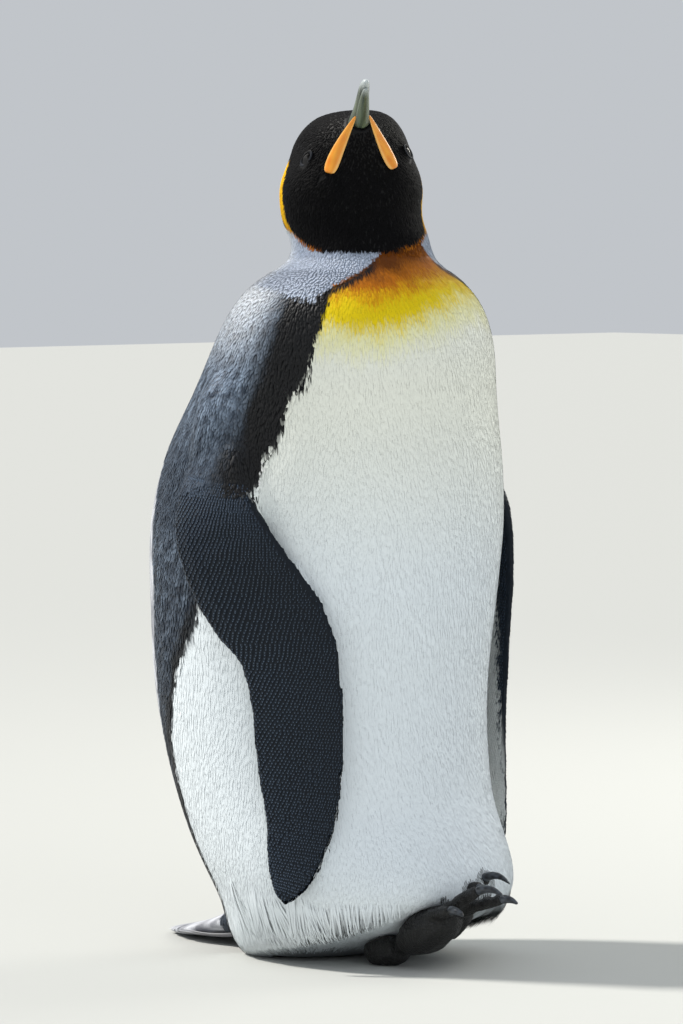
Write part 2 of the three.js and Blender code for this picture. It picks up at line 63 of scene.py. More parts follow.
# %% The bird's axes and the head's axes
HEM = frame["record"]["mounts"][0]["pos_m"]
HEM_BEHIND_PLUMB = 26 * MM
PLUMB = np.array([HEM[0], HEM[1] - HEM_BEHIND_PLUMB, 0.0])
HEAD_PITCH, HEAD_TURN, HEAD_TILT = (math.radians(angle) for angle in (38, 37, 5))
HEAD_CENTRE = (20, 4, 712)


def vector(forward, right, up):
    """A direction given in the bird's own terms."""
    return Vector((-right, -forward, up))


def place(forward, right, up):
    """A place given in mm from the foot of the plumb line."""
    return Vector(PLUMB) + vector(forward, right, up) * MM


AHEAD = vector(
    math.cos(HEAD_PITCH) * math.cos(HEAD_TURN),
    math.cos(HEAD_PITCH) * math.sin(HEAD_TURN),
    math.sin(HEAD_PITCH),
)
HEAD_RIGHT = Matrix.Rotation(HEAD_TILT, 3, AHEAD) @ vector(-math.sin(HEAD_TURN), math.cos(HEAD_TURN), 0)
CROWN = HEAD_RIGHT.cross(AHEAD)
HEAD = Matrix((AHEAD, -HEAD_RIGHT, CROWN)).transposed().to_4x4()
HEAD.translation = place(*HEAD_CENTRE)
print("head centre, mm:", [round(c / MM) for c in HEAD.translation], "crown up:", round(CROWN.z, 2))

# %% [markdown]
# ## Camera, floor and light
# A long lens from six metres away, level with the head, sees the bird from its right front. A pale floor
# runs into a pale surround. A hazy sun stands behind the bird's right shoulder and picks out the back and the
# crown. A broad soft light in front and a smaller one on the bird's left keep the white belly open.

# %% Camera
CAMERA_AZIMUTH, CAMERA_TILT = math.radians(-42), math.radians(3.06)
CAMERA_DISTANCE, CAMERA_HEIGHT = 6.0, 0.72
PIXELS_HIGH, FOCAL_PIXELS, SENSOR = 1024, 6667, 36


def around(azimuth, distance, height):
    """A place round the bird, in metres. Azimuth zero is straight ahead of it."""
    return Vector((PLUMB[0] + math.sin(azimuth) * distance, PLUMB[1] - math.cos(azimuth) * distance, height))


camera_data = bpy.data.cameras.new("camera")
camera_data.sensor_width = SENSOR
camera_data.lens = FOCAL_PIXELS / PIXELS_HIGH * SENSOR
camera = bpy.data.objects.new("camera", camera_data)
bpy.context.scene.collection.objects.link(camera)
camera.location = around(CAMERA_AZIMUTH, CAMERA_DISTANCE, CAMERA_HEIGHT)
camera.rotation_euler = (math.pi / 2 - CAMERA_TILT, 0, CAMERA_AZIMUTH)
bpy.context.scene.camera = camera
print("lens, mm:", round(camera_data.lens, 1))

# %% Floor and surround
FLOOR_SIZE, FLOOR_COLOUR, FLOOR_ROUGHNESS = 30, (0.5, 0.51, 0.49, 1), 0.85
SURROUND_COLOUR, SURROUND_STRENGTH = (0.86, 0.9, 0.95, 1), 0.62

bpy.ops.object.select_all(action="DESELECT")
bpy.ops.mesh.primitive_plane_add(size=FLOOR_SIZE)
floor = bpy.context.object
floor.name = "floor"
floor_paint = bpy.data.materials.new("pale floor")
floor_paint.use_nodes = True
floor_shader = floor_paint.node_tree.nodes["Principled BSDF"]
floor_shader.inputs["Base Color"].default_value = FLOOR_COLOUR
floor_shader.inputs["Roughness"].default_value = FLOOR_ROUGHNESS
floor.data.materials.append(floor_paint)

world = bpy.data.worlds.new("studio")
world.use_nodes = True
world.node_tree.nodes["Background"].inputs["Color"].default_value = SURROUND_COLOUR
world.node_tree.nodes["Background"].inputs["Strength"].default_value = SURROUND_STRENGTH
bpy.context.scene.world = world

# %% Lights
AIM_HEIGHT = 400  # mm up the plumb line, where every lamp points
SUN = {"azimuth": -150, "angle_up": 46, "distance": 3, "strength": 4.2, "spread": 6, "tint": (1, 0.96, 0.9)}
SOFTBOXES = {
    "fill": {
        "azimuth": -25, "distance": 3.2, "height": 2.2, "size": 2.4, "watts": 20, "tint": (0.93, 0.97, 1)
    },
    "edge": {
        "azimuth": 95, "distance": 2.6, "height": 1.6, "size": 1.2, "watts": 26, "tint": (1, 0.97, 0.88)
    },
}


def stand_lamp(name, kind, azimuth, distance, height, colour):
    """A lamp at its place round the bird, turned to the middle of the body."""
    lamp = bpy.data.lights.new(name, kind)
    lamp.color = colour
    stand = bpy.data.objects.new(name, lamp)
    bpy.context.scene.collection.objects.link(stand)
    stand.location = around(math.radians(azimuth), distance, height)
    aim = place(0, 0, AIM_HEIGHT) - stand.location
    stand.rotation_euler = aim.to_track_quat("-Z", "Y").to_euler()
    return lamp


sun_height = AIM_HEIGHT * MM + SUN["distance"] * math.tan(math.radians(SUN["angle_up"]))
sun = stand_lamp("sun", "SUN", SUN["azimuth"], SUN["distance"], sun_height, SUN["tint"])
sun.energy, sun.angle = SUN["strength"], math.radians(SUN["spread"])
for name, box in SOFTBOXES.items():
    lamp = stand_lamp(name, "AREA", box["azimuth"], box["distance"], box["height"], box["tint"])
    lamp.energy, lamp.size = box["watts"], box["size"]
print("lights: sun,", ", ".join(SOFTBOXES))

# %% [markdown]
# ## Helpers for making pieces
# An operator works on what is selected and active, so each piece starts from an empty selection. A finished
# piece sits at the origin with its place in its mesh. Arrays of points go in and out of a mesh in one call,
# which is what makes thousands of feathers quick.


# %% Selecting, reading and writing meshes
def alone(piece):
    """Selects only this piece and makes it active."""
    bpy.ops.object.select_all(action="DESELECT")
    piece.select_set(True)
    bpy.context.view_layer.objects.active = piece
    return piece


def settle(piece):
    """Moves a piece's place into its mesh."""
    piece.data.transform(piece.matrix_world)
    piece.matrix_world = Matrix.Identity(4)
    return piece


def points_of(mesh):
    data = np.empty(len(mesh.vertices) * 3)
    mesh.vertices.foreach_get("co", data)
    return data.reshape(-1, 3)


def normals_of(mesh):
    data = np.empty(len(mesh.vertices) * 3, np.float32)
    mesh.vertex_normals.foreach_get("vector", data)
    return data.reshape(-1, 3).astype(float)


def move_points(mesh, points):
    mesh.vertices.foreach_set("co", points.astype(np.float32).ravel())
    mesh.update()


def copy_of(*nodes):
    """Copies of the frame's nodes, each with its loose triangles joined up."""
    copies = []
    for node in nodes:
        mesh = frame["nodes"][node].data.copy()
        piece = bpy.data.objects.new(node + "_copy", mesh)
        bpy.context.scene.collection.objects.link(piece)
        shell = bmesh.new()
        shell.from_mesh(mesh)
        bmesh.ops.remove_doubles(shell, verts=shell.verts, dist=0.01 * MM)
        shell.to_mesh(mesh)
        shell.free()
        mesh.materials.clear()
        copies.append(piece)
    return copies


def join(pieces, name):
    alone(pieces[0])
    for piece in pieces:
        piece.select_set(True)
    bpy.ops.object.join()
    bpy.context.object.name = name
    bpy.context.object.data.name = name
    return bpy.context.object


def swell(piece, distance):
    """Moves each point along its normal, inwards if distance is below zero."""
    mesh = piece.data
    grow = np.asarray(distance).reshape(-1, 1)
    move_points(mesh, points_of(mesh) + normals_of(mesh) * grow)
    return piece


def remesh(piece, voxel, smooth):
    """Melts a piece into one even skin, then evens out the steps in it."""
    alone(piece)
    melt = piece.modifiers.new("melt", "REMESH")
    melt.mode = "VOXEL"
    melt.voxel_size = voxel
    bpy.ops.object.modifier_apply(modifier="melt")
    even = piece.modifiers.new("even", "SMOOTH")
    even.factor = 0.5
    even.iterations = smooth
    bpy.ops.object.modifier_apply(modifier="even")
    return piece


def soften(piece, name, weights, rounds):
    """Evens out a piece where its weights are above zero."""
    group = piece.vertex_groups.new(name=name)
    for index in np.flatnonzero(weights > 0.01):
        group.add([int(index)], float(weights[index]), "REPLACE")
    alone(piece)
    evened = piece.modifiers.new(name, "SMOOTH")
    evened.factor, evened.iterations, evened.vertex_group = 0.8, rounds, name
    bpy.ops.object.modifier_apply(modifier=name)


def ramp(low, high, value):
    """0 below low, 1 above high, and a soft curve between them."""
    share = np.clip((np.asarray(value, float) - low) / (high - low), 0, 1)
    return share * share * (3 - 2 * share)


# %% [markdown]
# ## The skin
# A real penguin's body is one skin, so the model's is too. Copies of the trunk, neck and head solids are
# swollen by a millimetre until they overlap, and a voxel remesh melts them into one closed surface. That is
# drawn in by the depth of the coat, thick on the body and thin on the head. The flippers are then set into
# the shoulders and all of it is melted once more. Modelling it from a cube would give neater loops, but the
# feathers hide them, and the remesh keeps the frame's exact outline.

# %% Body and flippers in one skin
BODY_COAT, HEAD_COAT, FLIPPER_COAT, TAIL_COAT = 1.1 * MM, 1.5 * MM, 0.5 * MM, 2.0 * MM
OVERLAP = 1.0 * MM
BODY_VOXEL, SKIN_VOXEL = 4 * MM, 2.7 * MM
FACE_NODES = ("eye_right", "eye_left", "plate_right", "plate_left")
PLUG = {"radius": 13, "at": (48, 0, -4), "stretch": (1.3, 1, 0.9, 1)}  # fills the face behind the bill, in mm

bpy.ops.object.select_all(action="DESELECT")
bpy.ops.mesh.primitive_uv_sphere_add(segments=20, ring_count=12, radius=PLUG["radius"] * MM)
plug = settle(bpy.context.object)
plug_place = Matrix.Translation([c * MM for c in PLUG["at"]])
plug.data.transform(HEAD @ plug_place @ Matrix.Diagonal(PLUG["stretch"]))

body_parts = [swell(piece, OVERLAP) for piece in copy_of("trunk", "neck", "head", *FACE_NODES)]
skin = remesh(join([*body_parts, plug], "skin"), BODY_VOXEL, 4)
height = points_of(skin.data)[:, 2]
soften(skin, "trunk", (1 - ramp(0.62, 0.65, height)) * ramp(0.004, 0.03, height), 36)
height = points_of(skin.data)[:, 2]
coat_depth = BODY_COAT + (HEAD_COAT - BODY_COAT) * ramp(0.615, 0.66, height)
swell(skin, -OVERLAP - coat_depth)

ARM_SET_IN = 14 * MM  # how far the upper arm's inner face is pushed into the body
flippers = copy_of("flipper_right", "flipper_left")
for flipper in flippers:
    swell(flipper, -FLIPPER_COAT)
    points, normals = points_of(flipper.data), normals_of(flipper.data)
    inward = PLUMB - points
    inward[:, 2] = 0
    inward /= np.linalg.norm(inward, axis=1)[:, None]
    faces_body = (normals * inward).sum(1) > -0.2
    points += inward * (ARM_SET_IN * ramp(0.385, 0.43, points[:, 2]) * faces_body)[:, None]
    move_points(flipper.data, points)
rump = swell(copy_of("tail")[0], -TAIL_COAT)
LOBE = {"centre": (-6, 124, 462), "half": (33, 42, 70)}  # the upper arm's muscle: across, fore and aft, up
lobes = []
for sign in (1, -1):
    forward, right, up = LOBE["centre"]
    middle = place(forward, sign * right, up)
    bpy.ops.object.select_all(action="DESELECT")
    bpy.ops.mesh.primitive_uv_sphere_add(segments=32, ring_count=20, radius=MM, location=middle)
    bpy.ops.object.mode_set(mode="EDIT")
    bpy.ops.mesh.select_all(action="SELECT")
    bpy.ops.transform.resize(value=LOBE["half"], center_override=middle)
    bpy.ops.object.mode_set(mode="OBJECT")
    lobes.append(settle(bpy.context.object))
skin = remesh(join([skin, *flippers, *lobes, rump], "skin"), SKIN_VOXEL, 3)

# %% Soften the shoulders and the fold under the chin
rough = points_of(skin.data)
height, aside = rough[:, 2] / MM, np.abs(rough[:, 0] - PLUMB[0]) / MM
shoulder = ramp(400, 440, height) * (1 - ramp(530, 560, height)) * ramp(90, 115, aside)
soften(skin, "shoulders", shoulder, 50)
chin = ramp(596, 612, height) * (1 - ramp(672, 690, height))
soften(skin, "chin", chin, 60)
THINNED_TO = 0.62  # share of the skin's faces that is kept
alone(skin)
thin = skin.modifiers.new("thin", "DECIMATE")
thin.ratio = THINNED_TO
bpy.ops.object.modifier_apply(modifier="thin")
print("skin faces:", len(skin.data.polygons), "of them on the shoulders:", int((shoulder > 0.5).sum()))

# %% [markdown]
# ## Where the markings are
# The skin and the feathers carry the same markings, so the markings are functions of a place on the bird. On
# the trunk a place is its height and its angle round from the front. Each boundary is a short list of heights
# with the angle there, from the real bird: white breast, black border, silver back, and the gold bib that
# starts deep orange at the throat. Painted light goes in with them: a painted highlight on the upper back,
# and painted shade under the chin and where the belly meets the floor. The head is measured by its own angle
# from where the face looks.


# %% Angles round the trunk and the head
HEAD_AXIS = (16, 2, 0)  # the upright line through the head that its angles are measured round
TRUNK_AXIS = {  # height of a cross-section, and how far forward its middle is, in mm
    "up": (0, 30, 45, 64, 94, 140, 230, 390, 454, 500, 544, 604, 700),
    "forward": (-20, 8, 27, 32, 17, -7, -27, -20, -10, 3, 16, 24, 18),
}


def trunk_angle(points):
    """Degrees round from straight ahead, above zero on the bird's right."""
    up = points[:, 2] / MM
    middle = np.interp(up, TRUNK_AXIS["up"], TRUNK_AXIS["forward"]) * MM
    forward = -(points[:, 1] - PLUMB[1]) - middle
    return np.degrees(np.arctan2(-(points[:, 0] - PLUMB[0]), forward))


def head_angle(points):
    """Degrees round from where the face looks, above zero on the bird's right."""
    centre = np.array(place(*HEAD_AXIS))
    forward, right = -(points[:, 1] - centre[1]), -(points[:, 0] - centre[0])
    turned = np.degrees(np.arctan2(right, forward)) - math.degrees(HEAD_TURN)
    return (turned + 180) % 360 - 180


def speckle(points, size, seed):
    """Soft random patches, about size across, between -1 and 1."""
    waves = np.random.default_rng(seed)
    total = np.zeros(len(points))
    for _ in range(7):
        direction = waves.normal(size=3)
        direction *= 2 * math.pi / (size * waves.uniform(0.8, 1.5) * np.linalg.norm(direction))
        total += np.sin(points @ direction + waves.uniform(0, 2 * math.pi))
    return total / 3.2


# %% Colours of the plumage, as linear light
def tint(red, green, blue):
    """A colour given as it looks on a screen, from 0 to 255."""
    share = np.array([red, green, blue]) / 255
    return np.where(share <= 0.04045, share / 12.92, ((share + 0.055) / 1.055) ** 2.4)


WHITE, CREAM = tint(231, 239, 244), tint(239, 240, 226)
YELLOW, GOLD, EAR_GOLD = tint(234, 206, 8), tint(228, 178, 4), tint(244, 180, 10)
# The brown is painted shade under the chin, which darkens the top of the orange bib.
ORANGE, UNDER_CHIN_SHADE = tint(184, 106, 5), tint(84, 40, 6)
# The pale silver is partly the real silver of the upper back and partly a painted highlight where the sun
# falls.
SILVER, PALE_SILVER_AND_HIGHLIGHT, COLLAR = tint(128, 144, 164), tint(222, 228, 236), tint(160, 171, 190)
SLATE, BLACK = tint(44, 55, 70), tint(7, 8, 12)
HEAD_BLACK, HEAD_SHEEN = tint(4, 4, 5), tint(44, 42, 48)
# painted shade on the white where the belly rests on the ground
BELLY_FLOOR_SHADE = tint(60, 66, 72)  # the white where it rests on the ground
FLIPPER_DARK, FLIPPER_INNER = tint(11, 18, 26), tint(206, 208, 206)


def mix(first, second, share):
    """One colour where share is 0 and another where it is 1, for each point."""
    return first + (second - first) * np.asarray(share)[:, None]


# %% Markings of the trunk and neck
FLANK = {  # where the white of the front ends, at each height
    "up": (0, 60, 190, 230, 300, 410, 485, 555, 604, 640),
    "angle": (127, 125, 114, 107, 92, 67, 63, 58, 57, 55),
}
BIB = {"up": (596, 606, 615, 625, 640), "angle": (62, 56, 45, 33, 20)}  # where the bib meets the collar
BIB_DEPTHS = {  # signed angle, and the heights where the orange and then the yellow end
    "angle": (-70, -22, 0, 33, 57, 70),
    "orange": (612, 616, 611, 599, 603, 606),
    "yellow": (598, 596, 586, 568, 573, 578),
}


def body_colour(points, fray):
    """Fray is a random number for each feather, from -1 to 1, that makes a boundary ragged."""
    up = points[:, 2] / MM
    angle = trunk_angle(points)
    side = np.abs(angle)
    flank = np.interp(up, FLANK["up"], FLANK["angle"]) + 1.3 * fray + 1.5 * speckle(points, 0.03, 3)

    breast = mix(WHITE, CREAM, ramp(330, 520, up) * 0.85)
    ragged = up + 3.5 * fray + 2.5 * speckle(points, 0.02, 5)
    orange_end = np.interp(angle, BIB_DEPTHS["angle"], BIB_DEPTHS["orange"])
    yellow_end = np.interp(angle, BIB_DEPTHS["angle"], BIB_DEPTHS["yellow"])
    breast = mix(breast, CREAM * [1, 0.97, 0.6], ramp(-34, -2, ragged - yellow_end))
    breast = mix(breast, YELLOW, ramp(-10, 9, ragged - yellow_end))
    breast = mix(breast, GOLD, ramp(-14, -2, ragged - orange_end))
    breast = mix(breast, ORANGE, ramp(-7, 7, ragged - orange_end))
    # Above the orange the bib darkens to brown: painted shade under the chin.
    breast = mix(breast, UNDER_CHIN_SHADE, 0.9 * ramp(2, 26, ragged - orange_end))

    mottle = 0.5 + 0.5 * speckle(points, 0.011, 7) + 0.25 * fray
    back = mix(SLATE, SILVER, np.clip(mottle * 0.7 + 0.3 * ramp(350, 560, up) - 0.1, 0, 1))
    back = mix(back, SLATE * 0.55, 0.75 * (1 - ramp(160, 470, up)))
    # Upper back and shoulders paler: partly real silver, partly a painted highlight from the sun behind.
    back = mix(back, PALE_SILVER_AND_HIGHLIGHT, ramp(520, 600, up) * ramp(72, 100, side) * 0.8)
    aside = np.abs(points[:, 0] - PLUMB[0]) / MM
    arm = ramp(505, 440, up) * ramp(370, 400, up) * ramp(92, 118, aside)
    back = mix(back, SLATE * 0.9, arm * 0.7)
    reach = np.interp(up, (430, 500, 560), (8, 14, 17))
    band = (1 - ramp(0, 12, side - flank - reach)) * ramp(300, 420, up)
    edge = 1 - ramp(3, 9, side - flank)
    back = mix(back, BLACK, np.maximum(band, edge * 0.9))

    colour = mix(breast, back, ramp(-0.8, 0.8, side - flank))
    # The lowest white at the front turns grey: painted shade where the belly meets the floor.
    hem = (1 - ramp(2, 16, up + 6 * fray)) * ramp(-60, 30, -(points[:, 1] - PLUMB[1]) / MM)
    colour = mix(colour, BELLY_FLOOR_SHADE, hem * 0.8)

    bib_edge = np.interp(up, BIB["up"], BIB["angle"]) + 1.5 * fray
    # The collar pales towards the back of the neck, partly through a painted highlight.
    collar_and_highlight = mix(COLLAR, PALE_SILVER_AND_HIGHLIGHT, ramp(95, 140, side))
    collar_foot = np.interp(side, (45, 57, 70, 85, 110), (600, 591, 594, 600, 604)) + 2 * fray
    colour = mix(colour, collar_and_highlight, ramp(-1, 1, side - bib_edge) * ramp(-2, 2, up - collar_foot))
    edge_up = np.interp(side, BIB["angle"][::-1], BIB["up"][::-1])
    line = np.exp(-(((up - edge_up + 4) / 3.4) ** 2)) * (1 - ramp(58, 64, side)) * ramp(26, 34, side)
    return mix(colour, BLACK, line * ramp(584, 590, up))


# %% Markings of the head
def head_colour(points, fray):
    """The head's colour at each place, and how much of the place is head rather than neck."""
    up = points[:, 2] / MM
    side = np.abs(head_angle(points))
    rim = np.interp(side, (30, 45, 70, 110, 180), (635, 638, 651, 664, 672)) + 0.8 * fray
    colour = mix(np.tile(HEAD_BLACK, (len(points), 1)), HEAD_SHEEN, 0.04 + 0.04 * fray)
    front = np.interp(up, (640, 652, 665, 700, 716), (52, 70, 77, 80, 88)) + 0.8 * fray
    back = np.interp(up, (640, 655, 675, 700, 716), (62, 84, 104, 116, 100)) + 1.5 * fray
    patch = ramp(-1, 1, side - front) * ramp(-1.5, 1.5, back - side) * (1 - ramp(713, 717, up + fray))
    thread = np.exp(-(((up - rim - 1.2) / 1.1) ** 2)) * ramp(28, 40, side) * (1 - ramp(70, 80, side))
    gold = mix(np.tile(GOLD, (len(points), 1)), EAR_GOLD, ramp(66, 90, side))
    colour = mix(colour, mix(ORANGE, gold, ramp(645, 665, up)), np.maximum(patch, thread * 0.7))
    return colour, ramp(-1, 1, up - rim)


def plumage(points, fray=None):
    """The coat's colour at each place, for the trunk, neck and head."""
    fray = np.zeros(len(points)) if fray is None else fray
    head, is_head = head_colour(points, fray)
    return mix(body_colour(points, fray), head, is_head)


print("belly colour:", plumage(np.array([place(140, 0, 300)])).round(2))

# %% [markdown]
# ## Painting the skin
# Under the coat the skin shows only in slits, yet it must carry the same markings, or dark lines would open
# in the white belly. Each point of the skin takes its colour from the functions above, a little darker, and
# the flippers' points take the flipper's own colours. The nearest frame solid tells which is which.

# %% Which points belong to a flipper
TREES = {}
FOOT_NODES = ("leg_right", "foot_right", "leg_left", "foot_left")
for node in ("trunk", "neck", "head", "flipper_right", "flipper_left", *FACE_NODES, *FOOT_NODES):
    shell = bmesh.new()
    shell.from_mesh(frame["nodes"][node].data)
    TREES[node] = BVHTree.FromBMesh(shell)
    shell.free()


def depth_in(node, points):
    """How far each point is from a solid's surface, below zero inside it."""
    depth = np.empty(len(points))
    for i, point in enumerate(points):
        near, normal, _, distance = TREES[node].find_nearest(point)
        depth[i] = math.copysign(distance, (Vector(point) - near).dot(normal))
    return depth


def flipper_mask(points):
    """Which points lie on a flipper, rather than on the trunk."""
    mask = np.zeros(len(points), bool)
    for side, sign in (("right", -1), ("left", 1)):
        close = (sign * (points[:, 0] - PLUMB[0]) > 60 * MM) & (points[:, 2] < 0.44)
        rows = np.flatnonzero(close)
        flipper = depth_in("flipper_" + side, points[rows])
        trunk = depth_in("trunk", points[rows])
        mask[rows] = (flipper < 2.5 * MM) & (flipper > -4 * MM) & (trunk > -4.2 * MM)
    return mask


# %% [markdown]
# A flipper is a flat, stiff blade. Its outer face and both edges are slate, and its inner face is white with
# a dark margin and tip. The tiny feathers have pale tips, which stand in slanting rows. The blade's own
# length, breadth and thickness are found from its points, as the three directions in which they spread.


# %% Length, breadth and thickness of each flipper
def blade_axes(node, outward):
    """The blade's middle, and its directions from shoulder to tip, to the front edge, and outward."""
    points = points_of(frame["nodes"][node].data)
    points = points[points[:, 2] < 0.4]
    middle = points.mean(0)
    _, spread = np.linalg.eigh(np.cov((points - middle).T))
    length = spread[:, 2] * -np.sign(spread[2, 2])
    out = spread[:, 0] * np.sign(spread[:, 0] @ np.array(outward))
    front = spread[:, 1] * np.sign(spread[:, 1] @ np.array([0, -1, 0.0]))
    return {"middle": middle, "length": length, "front": front, "out": out}


BLADES = {
    "right": blade_axes("flipper_right", vector(-0.3, 1, 0)),
    "left": blade_axes("flipper_left", vector(0, -1, 0)),
}


def flipper_colour(points, normals, fray):
    """Slate outside and at the edges, white inside where the blade faces the body."""
    colour = np.empty((len(points), 3))
    right = points[:, 0] < PLUMB[0]
    for side, rows in (("right", right), ("left", ~right)):
        blade = BLADES[side]
        local = points[rows] - blade["middle"]
        inner = ramp(0.4, 0.7, -(normals[rows] @ blade["out"])) * (1 - ramp(0.36, 0.40, points[rows, 2]))
        across = np.abs(local @ blade["front"]) / MM
        along = local @ blade["length"] / MM
        off_margin = 1 - ramp(24, 32, across + 4 * fray[rows])
        off_tip = 1 - ramp(95, 130, along + 8 * fray[rows])
        pale = inner * off_margin * off_tip
        dark = mix(np.tile(FLIPPER_DARK, (len(local), 1)), FLIPPER_DARK * 1.9, 0.5 + 0.5 * fray[rows])
        colour[rows] = mix(dark, FLIPPER_INNER, pale)
    return colour


def paint(mesh, colour, name="Colour"):
    """Stores one linear colour for each point."""
    layer = mesh.color_attributes.new(name, "FLOAT_COLOR", "POINT")
    data = np.ones((len(mesh.vertices), 4), np.float32)
    data[:, :3] = colour
    layer.data.foreach_set("color", data.ravel())


skin_points, skin_normals = points_of(skin.data), normals_of(skin.data)
skin_is_flipper = flipper_mask(skin_points)
skin_colour = plumage(skin_points)
skin_colour[skin_is_flipper] = flipper_colour(
    skin_points[skin_is_flipper], skin_normals[skin_is_flipper], np.zeros(skin_is_flipper.sum())
)
TAIL_DARK, TAIL_PALE = tint(96, 98, 106), tint(206, 209, 216)
behind = (skin_points[:, 1] - PLUMB[1]) / MM
streak = 0.5 + 0.5 * speckle(skin_points * [1, 0.06, 0.2], 0.004, 71)
tail_tone = mix(TAIL_DARK, TAIL_PALE, np.clip(streak * 1.3, 0, 1))
skin_colour = mix(skin_colour, tail_tone, ramp(100, 118, behind + 8 * streak))
UNDER_COAT = 0.95  # how bright the skin is beside its feathers
paint(skin.data, skin_colour * UNDER_COAT)
alone(skin)
bpy.ops.object.shade_smooth()
shell = bmesh.new()
shell.from_mesh(skin.data)
TREES["skin"] = BVHTree.FromBMesh(shell)
shell.free()
print("skin points on the flippers:", int(skin_is_flipper.sum()), "of", len(skin_points))

# %% [markdown]
# ## One small feather
# Every vane of the coat is a copy of one small closed mesh. A sphere with three segments is already a
# rounded blade with a ridge along its back, like the shaft of a feather. In edit mode each ring is resized to
# the feather's outline. A dozen triangles are enough, since there are a hundred thousand vanes.


# %% Model the vane
def model_vane(name, outline):
    """A vane one unit long and one wide along X. The outline gives each ring's place and its half width."""
    bpy.ops.object.select_all(action="DESELECT")
    bpy.ops.mesh.primitive_uv_sphere_add(segments=3, ring_count=len(outline) + 1, radius=1)
    vane = bpy.context.object
    vane.name = name
    vane.data.transform(Matrix.Rotation(math.pi / 2, 4, "Y") @ Matrix.Rotation(math.pi / 6, 4, "Z"))
    vane.data.transform(Matrix.Translation((0.5, 0, 0)) @ Matrix.Diagonal((0.5, 1, 1, 1)))
    bpy.ops.object.mode_set(mode="EDIT")
    rings = np.round(points_of(vane.data)[:, 0], 3)
    levels = np.unique(rings)[1:-1]
    for level, (reach, half) in zip(levels, outline):
        bpy.ops.mesh.select_all(action="DESELECT")
        shape = bmesh.from_edit_mesh(vane.data)
        shape.verts.ensure_lookup_table()
        chosen = [vert for vert, ring in zip(shape.verts, rings) if ring == level]
        for vert in chosen:
            vert.select = True
        shape.select_flush(True)
        middle = (level, 0, 0)
        breadth = 2 * max(abs(vert.co.y) for vert in chosen)
        bmesh.update_edit_mesh(vane.data)
        scale = 2 * half / breadth
        bpy.ops.transform.resize(value=(1, scale, scale), center_override=middle)
        bpy.ops.transform.translate(value=(reach - level, 0, 0))
    bpy.ops.mesh.select_all(action="SELECT")
    bpy.ops.mesh.quads_convert_to_tris()
    bpy.ops.mesh.normals_make_consistent(inside=False)
    bpy.ops.object.mode_set(mode="OBJECT")
    points = points_of(vane.data)
    corners = np.empty(len(vane.data.polygons) * 3, int)
    vane.data.polygons.foreach_get("vertices", corners)
    bpy.data.objects.remove(vane)
    return {"points": points, "faces": corners.reshape(-1, 3)}


VANE = model_vane("vane", [(0.35, 0.42), (0.8, 0.36)])
print("triangles of a vane:", len(VANE["faces"]))

# %% [markdown]
# ## Sowing roots and laying vanes
# Roots are sown in level rows, as real feathers stand in tracts, with a little scatter. Each vane starts in
# the skin, rises at a low angle, lies along the direction of the coat, and bends back down at its tip. All
# this is done on whole arrays at once, because an operator for each feather would take hours.


# %% Sow roots over a mesh
def triangles_of(mesh):
    mesh.calc_loop_triangles()
    corners = np.empty(len(mesh.loop_triangles) * 3, int)
    mesh.loop_triangles.foreach_get("vertices", corners)
    return corners.reshape(-1, 3)


def sow(mesh, wanted, spacing, centre, seed):
    """Roots about spacing apart on the triangles whose points are all wanted, with their normals."""
    chance = np.random.default_rng(seed)
    points, normals = points_of(mesh), normals_of(mesh)
    corners = triangles_of(mesh)
    corners = corners[wanted[corners].all(1)]
    first, second, third = (points[corners[:, i]] for i in range(3))
    area = np.linalg.norm(np.cross(second - first, third - first), axis=1) / 2
    middle = (first + second + third) / 3
    row = np.floor(middle[:, 2] / spacing)
    turn = np.arctan2(middle[:, 0] - centre[0], middle[:, 1] - centre[1])
    order = np.lexsort((turn, row))
    share = np.cumsum(area[order]) / spacing**2
    picked = order[np.flatnonzero(np.diff(np.floor(share), prepend=0) > 0)]
    weights = chance.dirichlet((1.5, 1.5, 1.5), len(picked))[:, :, None]
    roots = (points[corners[picked]] * weights).sum(1)
    facing = (normals[corners[picked]] * weights).sum(1)
    return roots, facing / np.linalg.norm(facing, axis=1)[:, None]


def unit(vectors):
    return vectors / np.maximum(np.linalg.norm(vectors, axis=1), 1e-9)[:, None]


def lie_along(direction, normals, scatter, swirl):
    """The direction laid flat on the skin, and turned a little at random and by slow swirls."""
    flat = unit(direction - normals * (direction * normals).sum(1)[:, None])
    turn = (scatter * rng.normal(size=len(normals)) + swirl)[:, None]
    return unit(flat * np.cos(turn) + np.cross(normals, flat) * np.sin(turn))


# %% Trace where each vane lies
def trace(surface, roots, facing, lie, length, hang=0):
    """Where each vane lies on a surface, and which way the surface faces there.

    Where hang is 1 the vane leaves the surface and goes straight on.
    """
    hang = np.broadcast_to(hang, len(roots))[:, None]
    half = (np.broadcast_to(length, len(roots)) / 2)[:, None]
    spots = [roots]
    heading, turned = lie, facing
    for _ in range(2):
        aim = spots[-1] + heading * half
        found = [TREES[surface].find_nearest(spot) for spot in aim]
        on_skin = np.array([near for near, _, _, _ in found])
        turned = unit(0.5 * turned + np.array([normal for _, normal, _, _ in found]))
        spots.append(on_skin * (1 - hang) + aim * hang)
        heading = unit(heading - turned * (heading * turned).sum(1)[:, None]) * (1 - hang) + heading * hang
    _, middle, tip = spots
    return {"root": roots, "middle": middle, "tip": tip, "facing": facing, "turned": turned, "lie": lie}


# %% Lay vanes on their traces, as one mesh
BAKE_PATCH = 0.003  # how broad each vane's patch is in the UV map that is baked
LOWEST_VANE = 0.4 * MM  # no vane dips below this height over the floor


